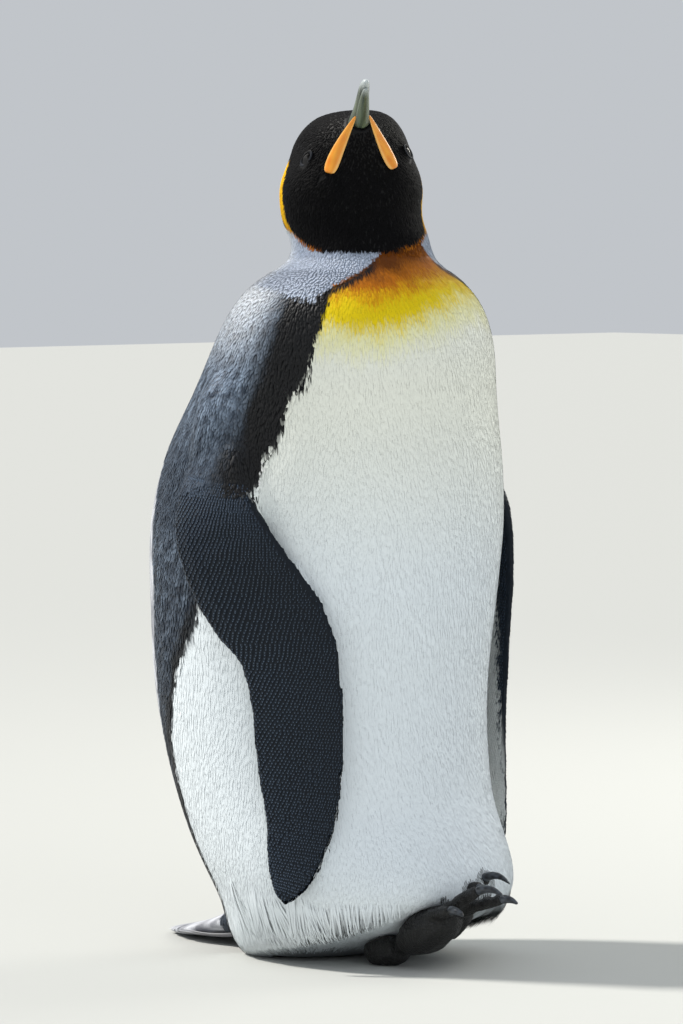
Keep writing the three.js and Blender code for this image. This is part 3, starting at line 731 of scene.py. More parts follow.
def lay(name, traces, size, colours, chart, silky=0.7, tip_from=0.15):
    """Lays one vane on each trace.

    Size holds width, thickness, depth of the root and height of the tip. Colours holds the root's and the
    tip's. Chart is each root's place in the UV map. Silky is how far the vane is lit like the skin below it.
    """
    count, shape = len(traces["root"]), VANE["points"]
    many = len(shape)
    root, middle, tip, facing, turned, lie = (
        traces[key][:, None] for key in ("root", "middle", "tip", "facing", "turned", "lie")
    )
    width, thick, depth, rise = (np.broadcast_to(value, count)[:, None, None] for value in size)
    x, y, z = (shape[None, :, i, None] for i in range(3))
    upright = facing * (1 - x) + turned * x
    upright /= np.linalg.norm(upright, axis=2, keepdims=True)
    points = root * (2 * (x - 0.5) * (x - 1)) + middle * (4 * x * (1 - x)) + tip * (2 * x * (x - 0.5))
    points = points + np.cross(upright, lie) * width * y + upright * (thick * z + (depth + rise) * x - depth)
    points[:, :, 2] = np.maximum(points[:, :, 2], LOWEST_VANE)

    faces = (VANE["faces"][None] + (np.arange(count) * many)[:, None, None]).reshape(-1)
    mesh = bpy.data.meshes.new(name)
    mesh.vertices.add(count * many)
    mesh.vertices.foreach_set("co", points.astype(np.float32).ravel())
    mesh.loops.add(len(faces))
    mesh.loops.foreach_set("vertex_index", faces.astype(np.int32))
    mesh.polygons.add(len(faces) // 3)
    mesh.polygons.foreach_set("loop_start", np.arange(0, len(faces), 3, dtype=np.int32))
    mesh.update(calc_edges=True)

    root_colour, tip_colour = colours
    blend = ramp(tip_from, 0.95, shape[:, 0])[None, :, None]
    paint(mesh, (root_colour[:, None] * (1 - blend) + tip_colour[:, None] * blend).reshape(-1, 3))
    across_share = shape[:, 1] / (2 * np.abs(shape[:, 1]).max()) + 0.5
    patch = np.stack([across_share, shape[:, 0]], 1)
    own = np.tile(patch, (count, 1))
    bake = (0.004 + 0.99 * chart[:, None] + BAKE_PATCH * (patch[None] - 0.5)).reshape(-1, 2)
    for layer, data in (("Vane", own), ("OFBake", bake)):
        mesh.uv_layers.new(name=layer).data.foreach_set("uv", data[faces].astype(np.float32).ravel())
    mesh.polygons.foreach_set("use_smooth", np.ones(len(faces) // 3, bool))
    mesh.update()
    silk = np.broadcast_to(silky, count)[:, None, None]
    shading = upright * silk + normals_of(mesh).reshape(count, many, 3) * (1 - silk)
    mesh.normals_split_custom_set_from_vertices(shading.reshape(-1, 3).tolist())
    piece = bpy.data.objects.new(name, mesh)
    bpy.context.scene.collection.objects.link(piece)
    return piece


def some(traces, rows):
    """Only these rows of every array."""
    return {key: value[rows] for key, value in traces.items()}


def chart_of(first, second):
    """Two values for each root, spread over the unit square."""
    both = np.stack([first, second], 1)
    low, high = both.min(0), both.max(0)
    return 0.005 + 0.985 * (both - low) / (high - low)


# %% [markdown]
# ## Coat of the trunk and neck
# On the trunk every feather points to the tail, so down. The breast has long silky vanes, and the back has
# shorter, rounder ones with dark roots and silver tips, which gives its scaly look. The height that a vane
# may rise comes from the room between the skin and the frame's surface, so the coat ends just inside it.

# %% Room for the coat
COAT_NODES = ("trunk", "neck", "head", "flipper_right", "flipper_left")


def room_above(points, nodes):
    """How deep each point is inside the frame's solids."""
    return np.max([-depth_in(node, points) for node in nodes], axis=0)


skin_height = skin_points[:, 2]
on_tail = skin_points[:, 1] - PLUMB[1] > 0.105
bare = (skin_normals[:, 2] < -0.85) & (skin_height < 0.012)
ragged = 12 * MM * speckle(skin_points, 0.013, 61)
near_foot = np.full(len(skin_points), 1.0)  # far, unless measured
low = np.flatnonzero(skin_height < 0.13)
near_foot[low] = np.min([depth_in(node, skin_points[low]) for node in FOOT_NODES], axis=0)
on_arm = skin_is_flipper & (skin_height < 0.418 + ragged)
body_zone = ~on_arm & ~bare & ~on_tail & (skin_height < 0.641) & (near_foot > 3.5 * MM)
print("skin points under the body's coat:", int(body_zone.sum()))


def back_share(points):
    """1 on the silver and black of the back, 0 on the breast."""
    up = points[:, 2] / MM
    flank = np.interp(up, FLANK["up"], FLANK["angle"])
    bib_edge = np.interp(up, BIB["up"], BIB["angle"])
    return ramp(-1, 3, np.abs(trunk_angle(points)) - np.where(up > 600, bib_edge, flank))


# %% Sow and lay the body's coat
SECTORS = {  # degrees round the trunk, so that no piece grows too large
    "breast_right": (0, 30),
    "side_right": (30, 60),
    "flank_right": (60, 105),
    "back_right": (105, 180),
    "back_left": (180, 255),
    "flank_left": (255, 300),
    "side_left": (300, 330),
    "breast_left": (330, 360),
}
COATS = {  # sizes in mm
    "silk": {"spacing": 2.1, "length": 19, "width": 2.0, "rise": 0.35, "seed": 21},
    "scale": {"spacing": 2.35, "length": 10, "width": 3.0, "rise": 1.0, "seed": 22},
}
ROOT_DEPTH = 0.4 * MM
FEWEST = 50  # a sector with fewer vanes than this is left out
FAR_INSIDE = -8 * MM  # further in than this, the nearest face no longer tells inside from outside
skin_back = back_share(skin_points)
coat = []
for kind, zone in (("silk", body_zone & (skin_back < 0.9)), ("scale", body_zone & (skin_back > 0.1))):
    made = COATS[kind]
    roots, facing = sow(skin.data, zone, made["spacing"] * MM, PLUMB, made["seed"])
    fray = rng.uniform(-1, 1, len(roots))
    throat = ramp(0.56, 0.63, roots[:, 2])
    length = made["length"] * (1 - 0.4 * throat) * MM * rng.uniform(0.85, 1.1, len(roots))
    width = made["width"] * (1 - 0.25 * throat) * MM
    room = room_above(roots, COAT_NODES)
    rise = np.minimum(made["rise"] * MM, np.maximum(room - 0.3 * MM, 0.5 * MM))
    down = np.tile([0, 0, -1.0], (len(roots), 1))
    lie = lie_along(down, facing, 0.08, 0.10 * speckle(roots, 0.05, 31))
    traces = trace("skin", roots, facing, lie, length, 0.8 * (1 - ramp(0.012, 0.04, roots[:, 2])))
    into_flipper = np.zeros(len(roots), bool)
    for at in ("middle", "tip"):
        for side in ("right", "left"):
            reach = depth_in("flipper_" + side, traces[at])
            into_flipper |= (reach < 1.4 * MM) & (reach > FAR_INSIDE)
    free = np.flatnonzero(~into_flipper | (roots[:, 2] > 0.425))
    traces, fray, width, rise = some(traces, free), fray[free], width[free], rise[free]
    roots = roots[free]
    back = back_share(traces["middle"])
    uneven = 1 + (0.008 + 0.06 * back) * rng.normal(size=len(roots))
    colour = plumage(traces["middle"], fray) * uneven[:, None]
    tones = (colour * (1 - 0.6 * back)[:, None], np.clip(colour * (1 + 0.25 * back)[:, None], 0, 0.95))
    angle = trunk_angle(roots)
    for name, (start, end) in SECTORS.items():
        rows = np.flatnonzero((angle - start) % 360 < end - start)
        if len(rows) < FEWEST:
            continue
        size = (width[rows], (0.16 + 0.08 * back[rows]) * MM, ROOT_DEPTH, rise[rows])
        shades = (tones[0][rows], tones[1][rows])
        chart = chart_of((angle[rows] - start) % 360, roots[rows, 2])
        silk = 1 - 0.4 * back[rows]
        coat.append(lay(f"coat_{kind}_{name}", some(traces, rows), size, shades, chart, silk))
    print(kind, "feathers:", len(roots))

# %% [markdown]
# ## Hem of the belly
# Where the belly ends at the heels and toes, its last feathers hang free: white, with ragged dark ends that
# stand partly for dark feathers and partly for painted shade under the belly. Short black ones part round the
# toes. They are sown by how near the skin is to the frame's legs and feet.

# %% Lay the hem and the fringe round the toes
HEM_LEVEL = {"forward": (60, 90, 110, 139, 152, 171), "up": (6, 12, 20, 36, 52, 64)}  # where its tips end
HEM_DARK_AND_SHADE = tint(16, 17, 20)
forward_of_plumb = (PLUMB[1] - skin_points[:, 1]) / MM
slope = skin_normals[:, 2]
ragged_top = (76 + 14 * speckle(skin_points, 0.02, 35)) * MM
overhang = (slope > -0.8) & (slope < -0.1)
under_belly = np.abs(forward_of_plumb - 60) < 90
round_toes = (slope > -0.3) & (near_foot < 9 * MM) & (near_foot > 1 * MM) & (skin_height > 22 * MM)
HEMS = {  # sizes in mm; dark is the share of the vanes with a dark end
    "belly": {
        "zone": body_zone & overhang & under_belly & (skin_height < ragged_top),
        "spacing": 1.9, "length": 55, "width": 2.3, "hang": 0.6, "toward": 0.0, "dark": 0.5,
    },
    "toes": {
        "zone": ~bare & round_toes,
        "spacing": 1.6, "length": 9, "width": 1.5, "hang": 0.5, "toward": 0.7, "dark": 1.0,
    },
}
for kind, made in HEMS.items():
    roots, facing = sow(skin.data, made["zone"], made["spacing"] * MM, PLUMB, 24)
    down = np.tile([0, 0, -1.0], (len(roots), 1)) + made["toward"] * np.array([0, -1.0, 0])
    lie = lie_along(unit(down), facing, 0.1, 0.1 * speckle(roots, 0.02, 34))
    forward = (PLUMB[1] - roots[:, 1]) / MM
    level = np.interp(forward, HEM_LEVEL["forward"], HEM_LEVEL["up"]) * MM
    drop = np.clip(roots[:, 2] - level + rng.normal(size=len(roots)) * 2.5 * MM, 6 * MM, made["length"] * MM)
    length = drop if kind == "belly" else made["length"] * MM * rng.uniform(0.6, 1.15, len(roots))
    traces = trace("skin", roots, facing, lie, length, made["hang"])
    white = plumage(traces["middle"], rng.uniform(-1, 1, len(roots)))
    # Under the front of the belly the dark ends are partly painted shade; round the toes they are black
    # feathers.
    lowest = ramp(30, 70, forward) * (1 - ramp(120, 145, forward)) if kind == "belly" else 1
    lowest = lowest * (drop < 0.99 * made["length"] * MM)
    tipped = (rng.random(len(roots)) < made["dark"]) * lowest
    ends = mix(white * 0.92, HEM_DARK_AND_SHADE, tipped)
    starts = white if kind == "belly" else white * 0.3
    size = (made["width"] * MM, 0.24 * MM, ROOT_DEPTH, 0.9 * MM)
    chart = chart_of(trunk_angle(roots), roots[:, 2])
    coat.append(lay("hem_" + kind, traces, size, (starts, ends), chart, 0.8, 0.6))
    print(kind, "hem feathers:", len(roots))

# %% [markdown]
# ## Coat of the head
# The head's feathers are the shortest, like velvet. They point away from the bill, over the crown and along
# the cheeks, and turn down the throat and the nape until they meet the body's coat.


# %% Keep the eyes, plates and bill clear
def head_local(points):
    """Places in the head's own frame, in mm: towards the bill, to the bird's left and to the crown."""
    return (points - np.array(HEAD.translation)) @ np.array(HEAD.to_3x3()) / MM


EYE_PLACES = {"right": (27.5, -43, -11.5), "left": (27.5, 43, -11.5)}
BARE_ROUND_EYE = 7.6  # mm from the eye's middle
BILL_ROOT = {"from": 46, "half": 11, "high": 12, "middle": -6, "to": 76}  # where no feather stands, in mm


def clear_of_face(points):
    """Which places are free of the eyes, the bill and its plates."""
    local = head_local(points)
    clear = np.ones(len(points), bool)
    for eye in EYE_PLACES.values():
        clear &= np.linalg.norm(local - eye, axis=1) > BARE_ROUND_EYE
    across = local[:, 1] / BILL_ROOT["half"]
    upward = (local[:, 2] - BILL_ROOT["middle"]) / BILL_ROOT["high"]
    in_bill = (local[:, 0] > BILL_ROOT["from"]) & (np.hypot(across, upward) < 1)
    clear &= ~in_bill & (local[:, 0] < BILL_ROOT["to"])
    for node in ("plate_right", "plate_left"):
        near = np.flatnonzero(clear & (local[:, 0] > 12) & (local[:, 2] < 0))
        depth = depth_in(node, points[near])
        clear[near] &= (depth > 0.2 * MM) | (depth < FAR_INSIDE)
    return clear


head_zone = (skin_height > 0.634) & ~skin_is_flipper & clear_of_face(skin_points)
roots, facing = sow(skin.data, head_zone, 1.6 * MM, np.array(place(*HEAD_AXIS)), 22)
fray = rng.uniform(-1, 1, len(roots))
local = head_local(roots)
turning = ramp(0.70, 0.645, roots[:, 2])[:, None]
away = np.tile(np.array(-AHEAD), (len(roots), 1))
cheek = unit(roots - np.array(HEAD @ Vector((58 * MM, 0, -6 * MM))))
direction = unit((0.5 * away + 0.5 * cheek) * (1 - turning) + np.array([0, 0, -1.0]) * turning)
lie = lie_along(direction, facing, 0.10, 0.1 * speckle(roots, 0.03, 33))
near_bill = ramp(62, 30, local[:, 0])
length = (3.6 + 3.6 * near_bill) * MM * rng.uniform(0.85, 1.15, len(roots))
uneven = 1 + 0.1 * rng.normal(size=len(roots))
colour = plumage(roots + lie * (0.5 * length)[:, None], fray) * uneven[:, None]
traces = trace("skin", roots, facing, lie, length)
width = (1.5 + 0.5 * near_bill) * MM
steep = np.degrees(np.arcsin(np.clip(unit(roots - np.array(HEAD.translation))[:, 2], -1, 1)))
for name, rows in (("right", head_angle(roots) > 0), ("left", head_angle(roots) <= 0)):
    size = (width[rows], 0.25 * MM, ROOT_DEPTH, 0.7 * MM)
    chart = chart_of(head_angle(roots)[rows], steep[rows])
    shades = (np.maximum(colour[rows], 0) * 0.7, np.clip(colour[rows] * 1.15, 0, 0.95))
    coat.append(lay("coat_head_" + name, some(traces, rows), size, shades, chart, 0.6))
print("feathers on the head:", len(roots))

# %% [markdown]
# ## Coat of the flippers
# A flipper has no quills. It is covered with stiff scale-like feathers in slanting rows, finest at the
# front edge. Their places form a lattice laid over the blade's own length and breadth, and a ray at each
# place finds the blade's surface. Each feather is dark with a small pale tip, so the rows show as dots.

# %% Lattice of places on a blade
ROW_STEP, COLUMNS = 2.7, 27  # mm from row to row, and places across the blade
SLANT = 20  # mm that a row climbs from the front edge to the back edge
NARROW = 34  # mm; where the blade is narrower, every second column is left out


def blade_lattice(side):
    """Places over the blade as (along, across, share from front edge to back edge, column), in mm."""
    blade = BLADES[side]
    mine = skin_is_flipper & ((skin_points[:, 0] < PLUMB[0]) == (side == "right"))
    local = (skin_points[mine] - blade["middle"]) / MM
    along, across = local @ blade["length"], local @ blade["front"]
    shares = np.cumsum(np.linspace(1, 1.75, COLUMNS))
    shares = (shares - shares[0]) / (shares[-1] - shares[0])
    places = []
    row = 0
    for level in np.arange(along.min(), along.max() + 20, ROW_STEP):
        here = across[np.abs(along - level + 10) < 6]
        if len(here) < 3:
            continue
        front, back = here.max(), here.min()
        step = 2 if front - back < NARROW else 1
        for column in range(0, COLUMNS - 1, step):
            share = shares[column] + 0.5 * (row % 2) * step * (shares[column + 1] - shares[column])
            scatter = rng.normal(size=2) * 0.25
            down_blade = level - SLANT * share + scatter[0]
            over_blade = front + (back - front) * share + scatter[1]
            places.append((down_blade, over_blade, share, column))
        row += 1
    return np.array(places)


# %% Lay the flippers' feathers
SKIN_TREE = KDTree(len(skin_points))
for index, point in enumerate(skin_points):
    SKIN_TREE.insert(point, index)
SKIN_TREE.balance()


def smooth_normal(point, facet):
    """The skin's own direction near a point, from the points that face the same way as the facet."""
    near = [skin_normals[index] for _, index, _ in SKIN_TREE.find_n(point, 12)]
    return unit(sum((normal for normal in near if normal @ facet > 0.3), 0.5 * facet)[None])[0]


RAY_START, RAY_LENGTH = 0.09, 0.18  # metres, from one side of the blade to well past it
PALE_TIP = tint(98, 114, 134)
for side in ("right", "left"):
    blade = BLADES[side]
    places = blade_lattice(side)
    for face, sign in (("outer", 1), ("inner", -1)):
        roots, facing, rows = [], [], []
        surface = "skin" if sign > 0 else "flipper_" + side
        for i, (along, across, share, _) in enumerate(places):
            start = blade["middle"] + (blade["length"] * along + blade["front"] * across) * MM
            start = start + blade["out"] * sign * RAY_START
            hit, normal, _, _ = TREES[surface].ray_cast(start, blade["out"] * -sign, RAY_LENGTH)
            if hit is not None:
                roots.append(hit)
                facing.append(normal)
                rows.append(i)
        roots, facing, rows = np.array(roots), np.array(facing), np.array(rows)
        edge_of_arm = 0.446 + 12 * MM * speckle(roots, 0.013, 61)
        keep = (roots[:, 2] < edge_of_arm) & (depth_in("flipper_" + side, roots) < 3.5 * MM)
        if sign < 0:
            keep &= (depth_in("trunk", roots) > 0.2 * MM) & (facing @ blade["out"] < -0.5)
            keep &= (places[rows, 2] > 0.05) & (places[rows, 2] < 0.93)
        roots, share = roots[keep], places[rows[keep], 2]
        facing = np.array([smooth_normal(root, normal) for root, normal in zip(roots, facing[keep])])
        fray = rng.uniform(-1, 1, len(roots))
        direction = np.array(blade["length"]) - 0.3 * blade["front"]
        lie = lie_along(np.tile(direction, (len(roots), 1)), facing, 0.03, 0 * share)
        dark = flipper_colour(roots, facing, fray)
        shoulder = (ramp(0.35, 0.47, roots[:, 2]) * (sign > 0))[:, None]
        dark = dark * (1 - 0.9 * shoulder) + SLATE * 0.9 * shoulder
        pale_tip = np.clip(dark * 2.2 + PALE_TIP * (0.8 + 0.4 * share[:, None]), 0, 0.9)
        length = (6.2 + 1.6 * share) * MM
        traces = trace(surface, roots, facing, lie, length)
        size = ((2.1 + 1.6 * share) * MM, 0.3 * MM, ROOT_DEPTH, (0.55 if sign > 0 else 0.1) * MM)
        chart = chart_of(places[rows[keep], 1], places[rows[keep], 0])
        name = f"coat_flipper_{side}_{face}"
        coat.append(lay(name, traces, size, (dark, pale_tip), chart, 0.6, 0.78))
        print(name, len(roots))

# %% [markdown]
# ## Sweeping horn forms
# The bill, its two plates and the tail feathers are all long forms whose section changes from end to end. A
# circle is set at the first section, and its face is extruded, moved and resized from one section to the
# next, as one would by hand. A subdivision then rounds the form.


# %% Sweep a section through stations
def sweep(name, stations, sides=12, levels=2):
    """Each station is (ahead, aside, up, half breadth, half height) in mm; aside is to the bird's left."""
    bpy.ops.object.select_all(action="DESELECT")
    first = stations[0]
    upright = (0, math.pi / 2, 0)
    bpy.ops.mesh.primitive_circle_add(vertices=sides, radius=MM, fill_type="NGON", rotation=upright)
    form = bpy.context.object
    form.name = name
    bpy.ops.object.transform_apply(location=False, rotation=True, scale=False)
    bpy.ops.object.mode_set(mode="EDIT")
    bpy.ops.transform.resize(value=(1, first[3], first[4]), center_override=(0, 0, 0))
    bpy.ops.transform.translate(value=[first[i] * MM for i in range(3)])
    for before, after in zip(stations, stations[1:]):
        step = [(after[i] - before[i]) * MM for i in range(3)]
        bpy.ops.mesh.extrude_region_move(TRANSFORM_OT_translate={"value": step})
        centre = [after[i] * MM for i in range(3)]
        ratio = (1, after[3] / before[3], after[4] / before[4])
        bpy.ops.transform.resize(value=ratio, center_override=centre)
    bpy.ops.mesh.select_all(action="SELECT")
    bpy.ops.mesh.normals_make_consistent(inside=False)
    bpy.ops.object.mode_set(mode="OBJECT")
    smooth = form.modifiers.new("round", "SUBSURF")
    smooth.levels = smooth.render_levels = levels
    bpy.ops.object.modifier_apply(modifier="round")
    bpy.ops.object.shade_smooth()
    return form


def in_head(piece):
    """Takes a piece made along X into the head's place."""
    piece.data.transform(HEAD)
    return piece


# %% [markdown]
# ## Bill and plates
# The bill is long, slim and gently bent down at its tip. The upper half overlaps the lower one. Both are dark
# olive horn with fine streaks along them, and a painted highlight makes the tip pale. A bright orange plate
# lies along each side of the lower half, from the gape to the middle of the bill. The stations are the
# frame's own.

# %% Bill
UPPER = [
    (40, 0, -3, 10, 9), (50, 0, -3, 12.6, 11.1), (66, 0, -4, 10.1, 9.2), (84, 0, -5, 6.8, 6.8),
    (102, 0, -6.4, 5.8, 5.7), (120, 0, -8.8, 5.1, 4.9), (131, 0, -11.2, 4.2, 4.1),
    (137.5, 0, -13.8, 2.2, 2.4),
]
LOWER = [
    (74, 0, -16, 5.2, 2.4), (80, 0, -15.6, 6.6, 3.6), (92, 0, -14.8, 6.1, 4.2), (106, 0, -14.4, 5, 3.8),
    (120, 0, -15, 3.7, 3), (130, 0, -16.2, 2, 1.7),
]
bill_upper = sweep("horn_upper", UPPER)
bill_lower = sweep("horn_lower", LOWER)


def horn_colour(points):
    """Dark slate on the ridge and olive on the sides, with a painted highlight that makes the tip pale."""
    ahead, aside, up = points.T / MM
    streak = speckle(points * [0.12, 1, 1], 0.0035, 41)
    middle = np.interp(ahead, [50, 66, 84, 102, 120, 138], [-3, -4, -5, -6.4, -8.8, -14])
    colour = mix(tint(62, 72, 58), tint(96, 108, 84), 0.5 + 0.5 * streak)
    colour = mix(colour, tint(32, 36, 40), ramp(1, 5, up - middle))
    # painted highlight: the tip turns pale
    colour = mix(colour, tint(196, 204, 206), ramp(116, 136, ahead + 2 * streak) * 0.9)
    return colour


for piece in (bill_upper, bill_lower):
    paint(piece.data, horn_colour(points_of(piece.data)))
    in_head(piece)
print("bill length, mm:", UPPER[-1][0] - UPPER[0][0], "triangles:", len(bill_upper.data.polygons) * 2)

# %% Plates, made straight and then laid along their curve
PLATE_CURVE = {  # from the gape forward, in the head's own frame, and which way the plate faces
    "gape": (38, 28.8, -34.5), "bow": (49, 20, -18), "front": (90, 5.6, -14.5), "proud": (0.25, 0.7, -0.67),
}
PLATE_OUTLINE = (  # share of its length, and the half breadth there in mm
    (-0.05, 4.2), (0, 6.2), (0.1, 7), (0.26, 6.9), (0.45, 5.9), (0.65, 4.4), (0.85, 2.6), (0.99, 1),
)
PLATE_LENGTH = 100  # as swept; the curve then sets the real length


def lay_plate(points, sign):
    """Bends a straight plate along the curve, with its face turned out and down."""
    gape, bow, front, proud = (np.array(PLATE_CURVE[key]) * [1, sign, 1] for key in PLATE_CURVE)
    share = (points[:, 0] / MM / PLATE_LENGTH)[:, None]
    centre = gape * (1 - share) ** 2 + 2 * bow * share * (1 - share) + front * share**2
    along = unit((bow - gape) * (1 - share) + (front - bow) * share)
    across = unit(np.cross(along, proud))
    outward = np.cross(across, along)
    return centre * MM + across * points[:, 1:2] + outward * points[:, 2:3]


def plate_colour(points):
    """Orange, deeper along the middle, with a paler rim."""
    ahead, aside, _ = points.T / MM
    half = np.interp(ahead / PLATE_LENGTH, *zip(*PLATE_OUTLINE))
    rim = ramp(0.55, 0.95, np.abs(aside) / half)
    colour = mix(tint(240, 158, 34), tint(228, 134, 20), 0.5 + 0.5 * speckle(points * [0.3, 1, 1], 0.006, 43))
    return mix(colour, tint(250, 196, 110), rim * 0.8)


plates = []
for side, sign in (("right", -1), ("left", 1)):
    outline = [(share * PLATE_LENGTH, 0, 0, half, 0.42 * half) for share, half in PLATE_OUTLINE]
    plate = sweep("gape_plate_" + side, outline)
    paint(plate.data, plate_colour(points_of(plate.data)))
    move_points(plate.data, lay_plate(points_of(plate.data), sign))
    alone(plate)
    bpy.ops.object.mode_set(mode="EDIT")
    bpy.ops.mesh.select_all(action="SELECT")
    bpy.ops.mesh.normals_make_consistent(inside=False)
    bpy.ops.object.mode_set(mode="OBJECT")
    plates.append(in_head(plate))
print("plates:", ", ".join(plate.name for plate in plates))

# %% [markdown]
# ## Eyes
# The eye is a ball with a very dark brown iris and a black pupil under a wet surface. Only its front shows
# between the lids, which are rings of bare dark skin drawn out to an almond. The lower lid is a little blue.


# %% Eyeballs and lids
EYE_RADIUS, PUPIL_ANGLE, IRIS_ANGLE = 8.5, 17, 47
EYE_SET_IN = 3.6  # how far the ball is set back between the lids
PUPIL, IRIS, IRIS_RIM = tint(4, 4, 5), tint(40, 33, 20), tint(18, 14, 12)
LID = {"out": 3.7, "major": 6.6, "minor": 1.3, "stretch": (1.25, 0.66, 0.5)}  # a ring before the ball, in mm
LID_DARK, LOWER_LID = tint(8, 8, 9), tint(34, 38, 46)


def ring_round(place_in_head, outward, major, minor, stretch):
    """A torus round a place on the head, drawn out along the head's length."""
    bpy.ops.object.select_all(action="DESELECT")
    bpy.ops.mesh.primitive_torus_add(
        major_segments=40, minor_segments=10, major_radius=major * MM, minor_radius=minor * MM
    )
    ring = settle(bpy.context.object)
    bpy.ops.object.mode_set(mode="EDIT")
    bpy.ops.mesh.select_all(action="SELECT")
    bpy.ops.transform.resize(value=stretch, center_override=(0, 0, 0))
    bpy.ops.object.mode_set(mode="OBJECT")
    ahead = (Vector((1, 0, 0)) - outward * outward.x).normalized()
    frame_of_eye = Matrix((ahead, outward.cross(ahead), outward)).transposed().to_4x4()
    frame_of_eye.translation = place_in_head
    ring.data.transform(frame_of_eye)
    return ring


eyes, lids = [], []
for side, centre in EYE_PLACES.items():
    centre = Vector(centre) * MM
    gaze = Vector((0.5, math.copysign(0.85, centre.y), -0.16)).normalized()
    bpy.ops.object.select_all(action="DESELECT")
    bpy.ops.mesh.primitive_uv_sphere_add(segments=48, ring_count=32, radius=EYE_RADIUS * MM)
    ball = bpy.context.object
    bpy.ops.object.mode_set(mode="EDIT")
    bpy.ops.mesh.select_all(action="SELECT")
    bpy.ops.transform.resize(value=(1, 1, 0.97), center_override=(0, 0, 0))
    bpy.ops.object.mode_set(mode="OBJECT")
    ball.data.transform(gaze.to_track_quat("Z", "Y").to_matrix().to_4x4())
    bpy.ops.object.shade_smooth()
    ball.name = "eyeball_" + side
    off_axis = np.degrees(np.arccos(np.clip(unit(points_of(ball.data)) @ np.array(gaze), -1, 1)))
    colour = mix(PUPIL, IRIS, ramp(PUPIL_ANGLE - 1.5, PUPIL_ANGLE + 1.5, off_axis))
    colour = mix(colour, IRIS_RIM, ramp(IRIS_ANGLE - 12, IRIS_ANGLE, off_axis))
    paint(ball.data, colour)
    ball.data.transform(Matrix.Translation(centre - gaze * EYE_SET_IN * MM))
    eyes.append(in_head(ball))

    lid = ring_round(centre + gaze * LID["out"] * MM, gaze, LID["major"], LID["minor"], LID["stretch"])
    lid.name = "lid_" + side
    bpy.ops.object.shade_smooth()
    low = ramp(-3, 1, centre.z / MM - points_of(lid.data)[:, 2] / MM)
    paint(lid.data, mix(LID_DARK, LOWER_LID, low))
    lids.append(in_head(lid))
print("eyes and lids:", len(eyes), len(lids))

# %% [markdown]
# ## Feet and claws
# Each foot is one skin of its own, melted from its leg and foot solids, because scaly skin needs finer
# detail than the plumage. Its creases are real dents: the points there move in along their normals, most on
# top of the toes, and painted shade darkens them too. The heel's tone is partly its own dark skin and partly
# painted shade under the hanging hem. The claws are horn, melted smooth from copies of the frame's blunt
# ones.

# %% Feet
# The darkest tone is painted shade in the creases. The heel's two tones are partly dark skin and partly
# painted shade under the hem.
FOOT_DARK, FOOT_PALE, CREASE_SHADE = tint(8, 9, 9), tint(30, 31, 34), tint(4, 4, 5)
HEEL_DARK, HEEL_PALE = tint(10, 11, 11), tint(26, 28, 27)
TOE_SWELL, UNEVEN, CREASE_DEPTH = 2.2 * MM, 0.8 * MM, 0.55 * MM
FOOT_VOXEL = 1.5 * MM
feet = []
for side in ("right", "left"):
    parts = [swell(piece, 0.5 * MM) for piece in copy_of("leg_" + side, "foot_" + side)]
    foot = remesh(join(parts, "foot_skin_" + side), FOOT_VOXEL, 3)
    swell(foot, -0.7 * MM)
    points = points_of(foot.data)
    toe_ends = TOE_SWELL * ramp(140, 165, (PLUMB[1] - points[:, 1]) / MM) * (side == "left")
    swell(foot, toe_ends - UNEVEN * np.maximum(speckle(points, 0.014, 54), 0))
    scales = np.abs(speckle(points, 0.0055, 51)) * 0.5 + np.abs(speckle(points, 0.0042, 52)) * 0.5
    creases = 1 - ramp(0.0, 0.35, scales)
    upper = ramp(-0.3, 0.3, normals_of(foot.data)[:, 2])
    swell(foot, -CREASE_DEPTH * creases * upper)
    points = points_of(foot.data)
    points[:, 2] = np.maximum(points[:, 2], 0.2 * MM)
    move_points(foot.data, points)
    tone = mix(FOOT_DARK, FOOT_PALE, ramp(0.2, 0.9, scales) * upper)
    # The creases are darkened as well as dented: painted shade.
    tone = mix(tone, CREASE_SHADE, creases * 0.8)
    on_heel = 1 - ramp(0.2, 1.6, depth_in("leg_" + side, points) / MM)
    # The heel: partly dark skin, partly painted shade under the hem.
    heel_skin_and_shade = mix(HEEL_DARK, HEEL_PALE, ramp(0.1, 0.8, scales))
    tone = mix(tone, heel_skin_and_shade, on_heel)
    paint(foot.data, tone)
    alone(foot)
    bpy.ops.object.shade_smooth()
    feet.append(foot)
print("foot faces:", [len(foot.data.polygons) for foot in feet])

# %% Claws
TOE_NAMES = ("inner", "middle", "outer")
CLAW_DARK, CLAW_PALE = tint(24, 26, 30), tint(70, 76, 84)
claws = []
for side in ("right", "left"):
    parts = copy_of(*(f"claw_{side}_{toe}" for toe in TOE_NAMES))
    for part in parts:
        remesh(part, 0.7 * MM, 6)
    claw = swell(join(parts, "claws_" + side), 0.8 * MM)
    points = points_of(claw.data)
    paint(claw.data, mix(CLAW_DARK, CLAW_PALE, 0.5 + 0.5 * speckle(points, 0.004, 53)))
    bpy.ops.object.shade_smooth()
    claws.append(claw)
print("claw faces:", [len(claw.data.polygons) for claw in claws])

# %% [markdown]
# ## Tail
# The tail is a fan of stiff, narrow feathers that props the bird up. One feather is swept, with a raised
# shaft, and copied: a lower layer reaches the frame's outline, and shorter ones lie over it at the rump.

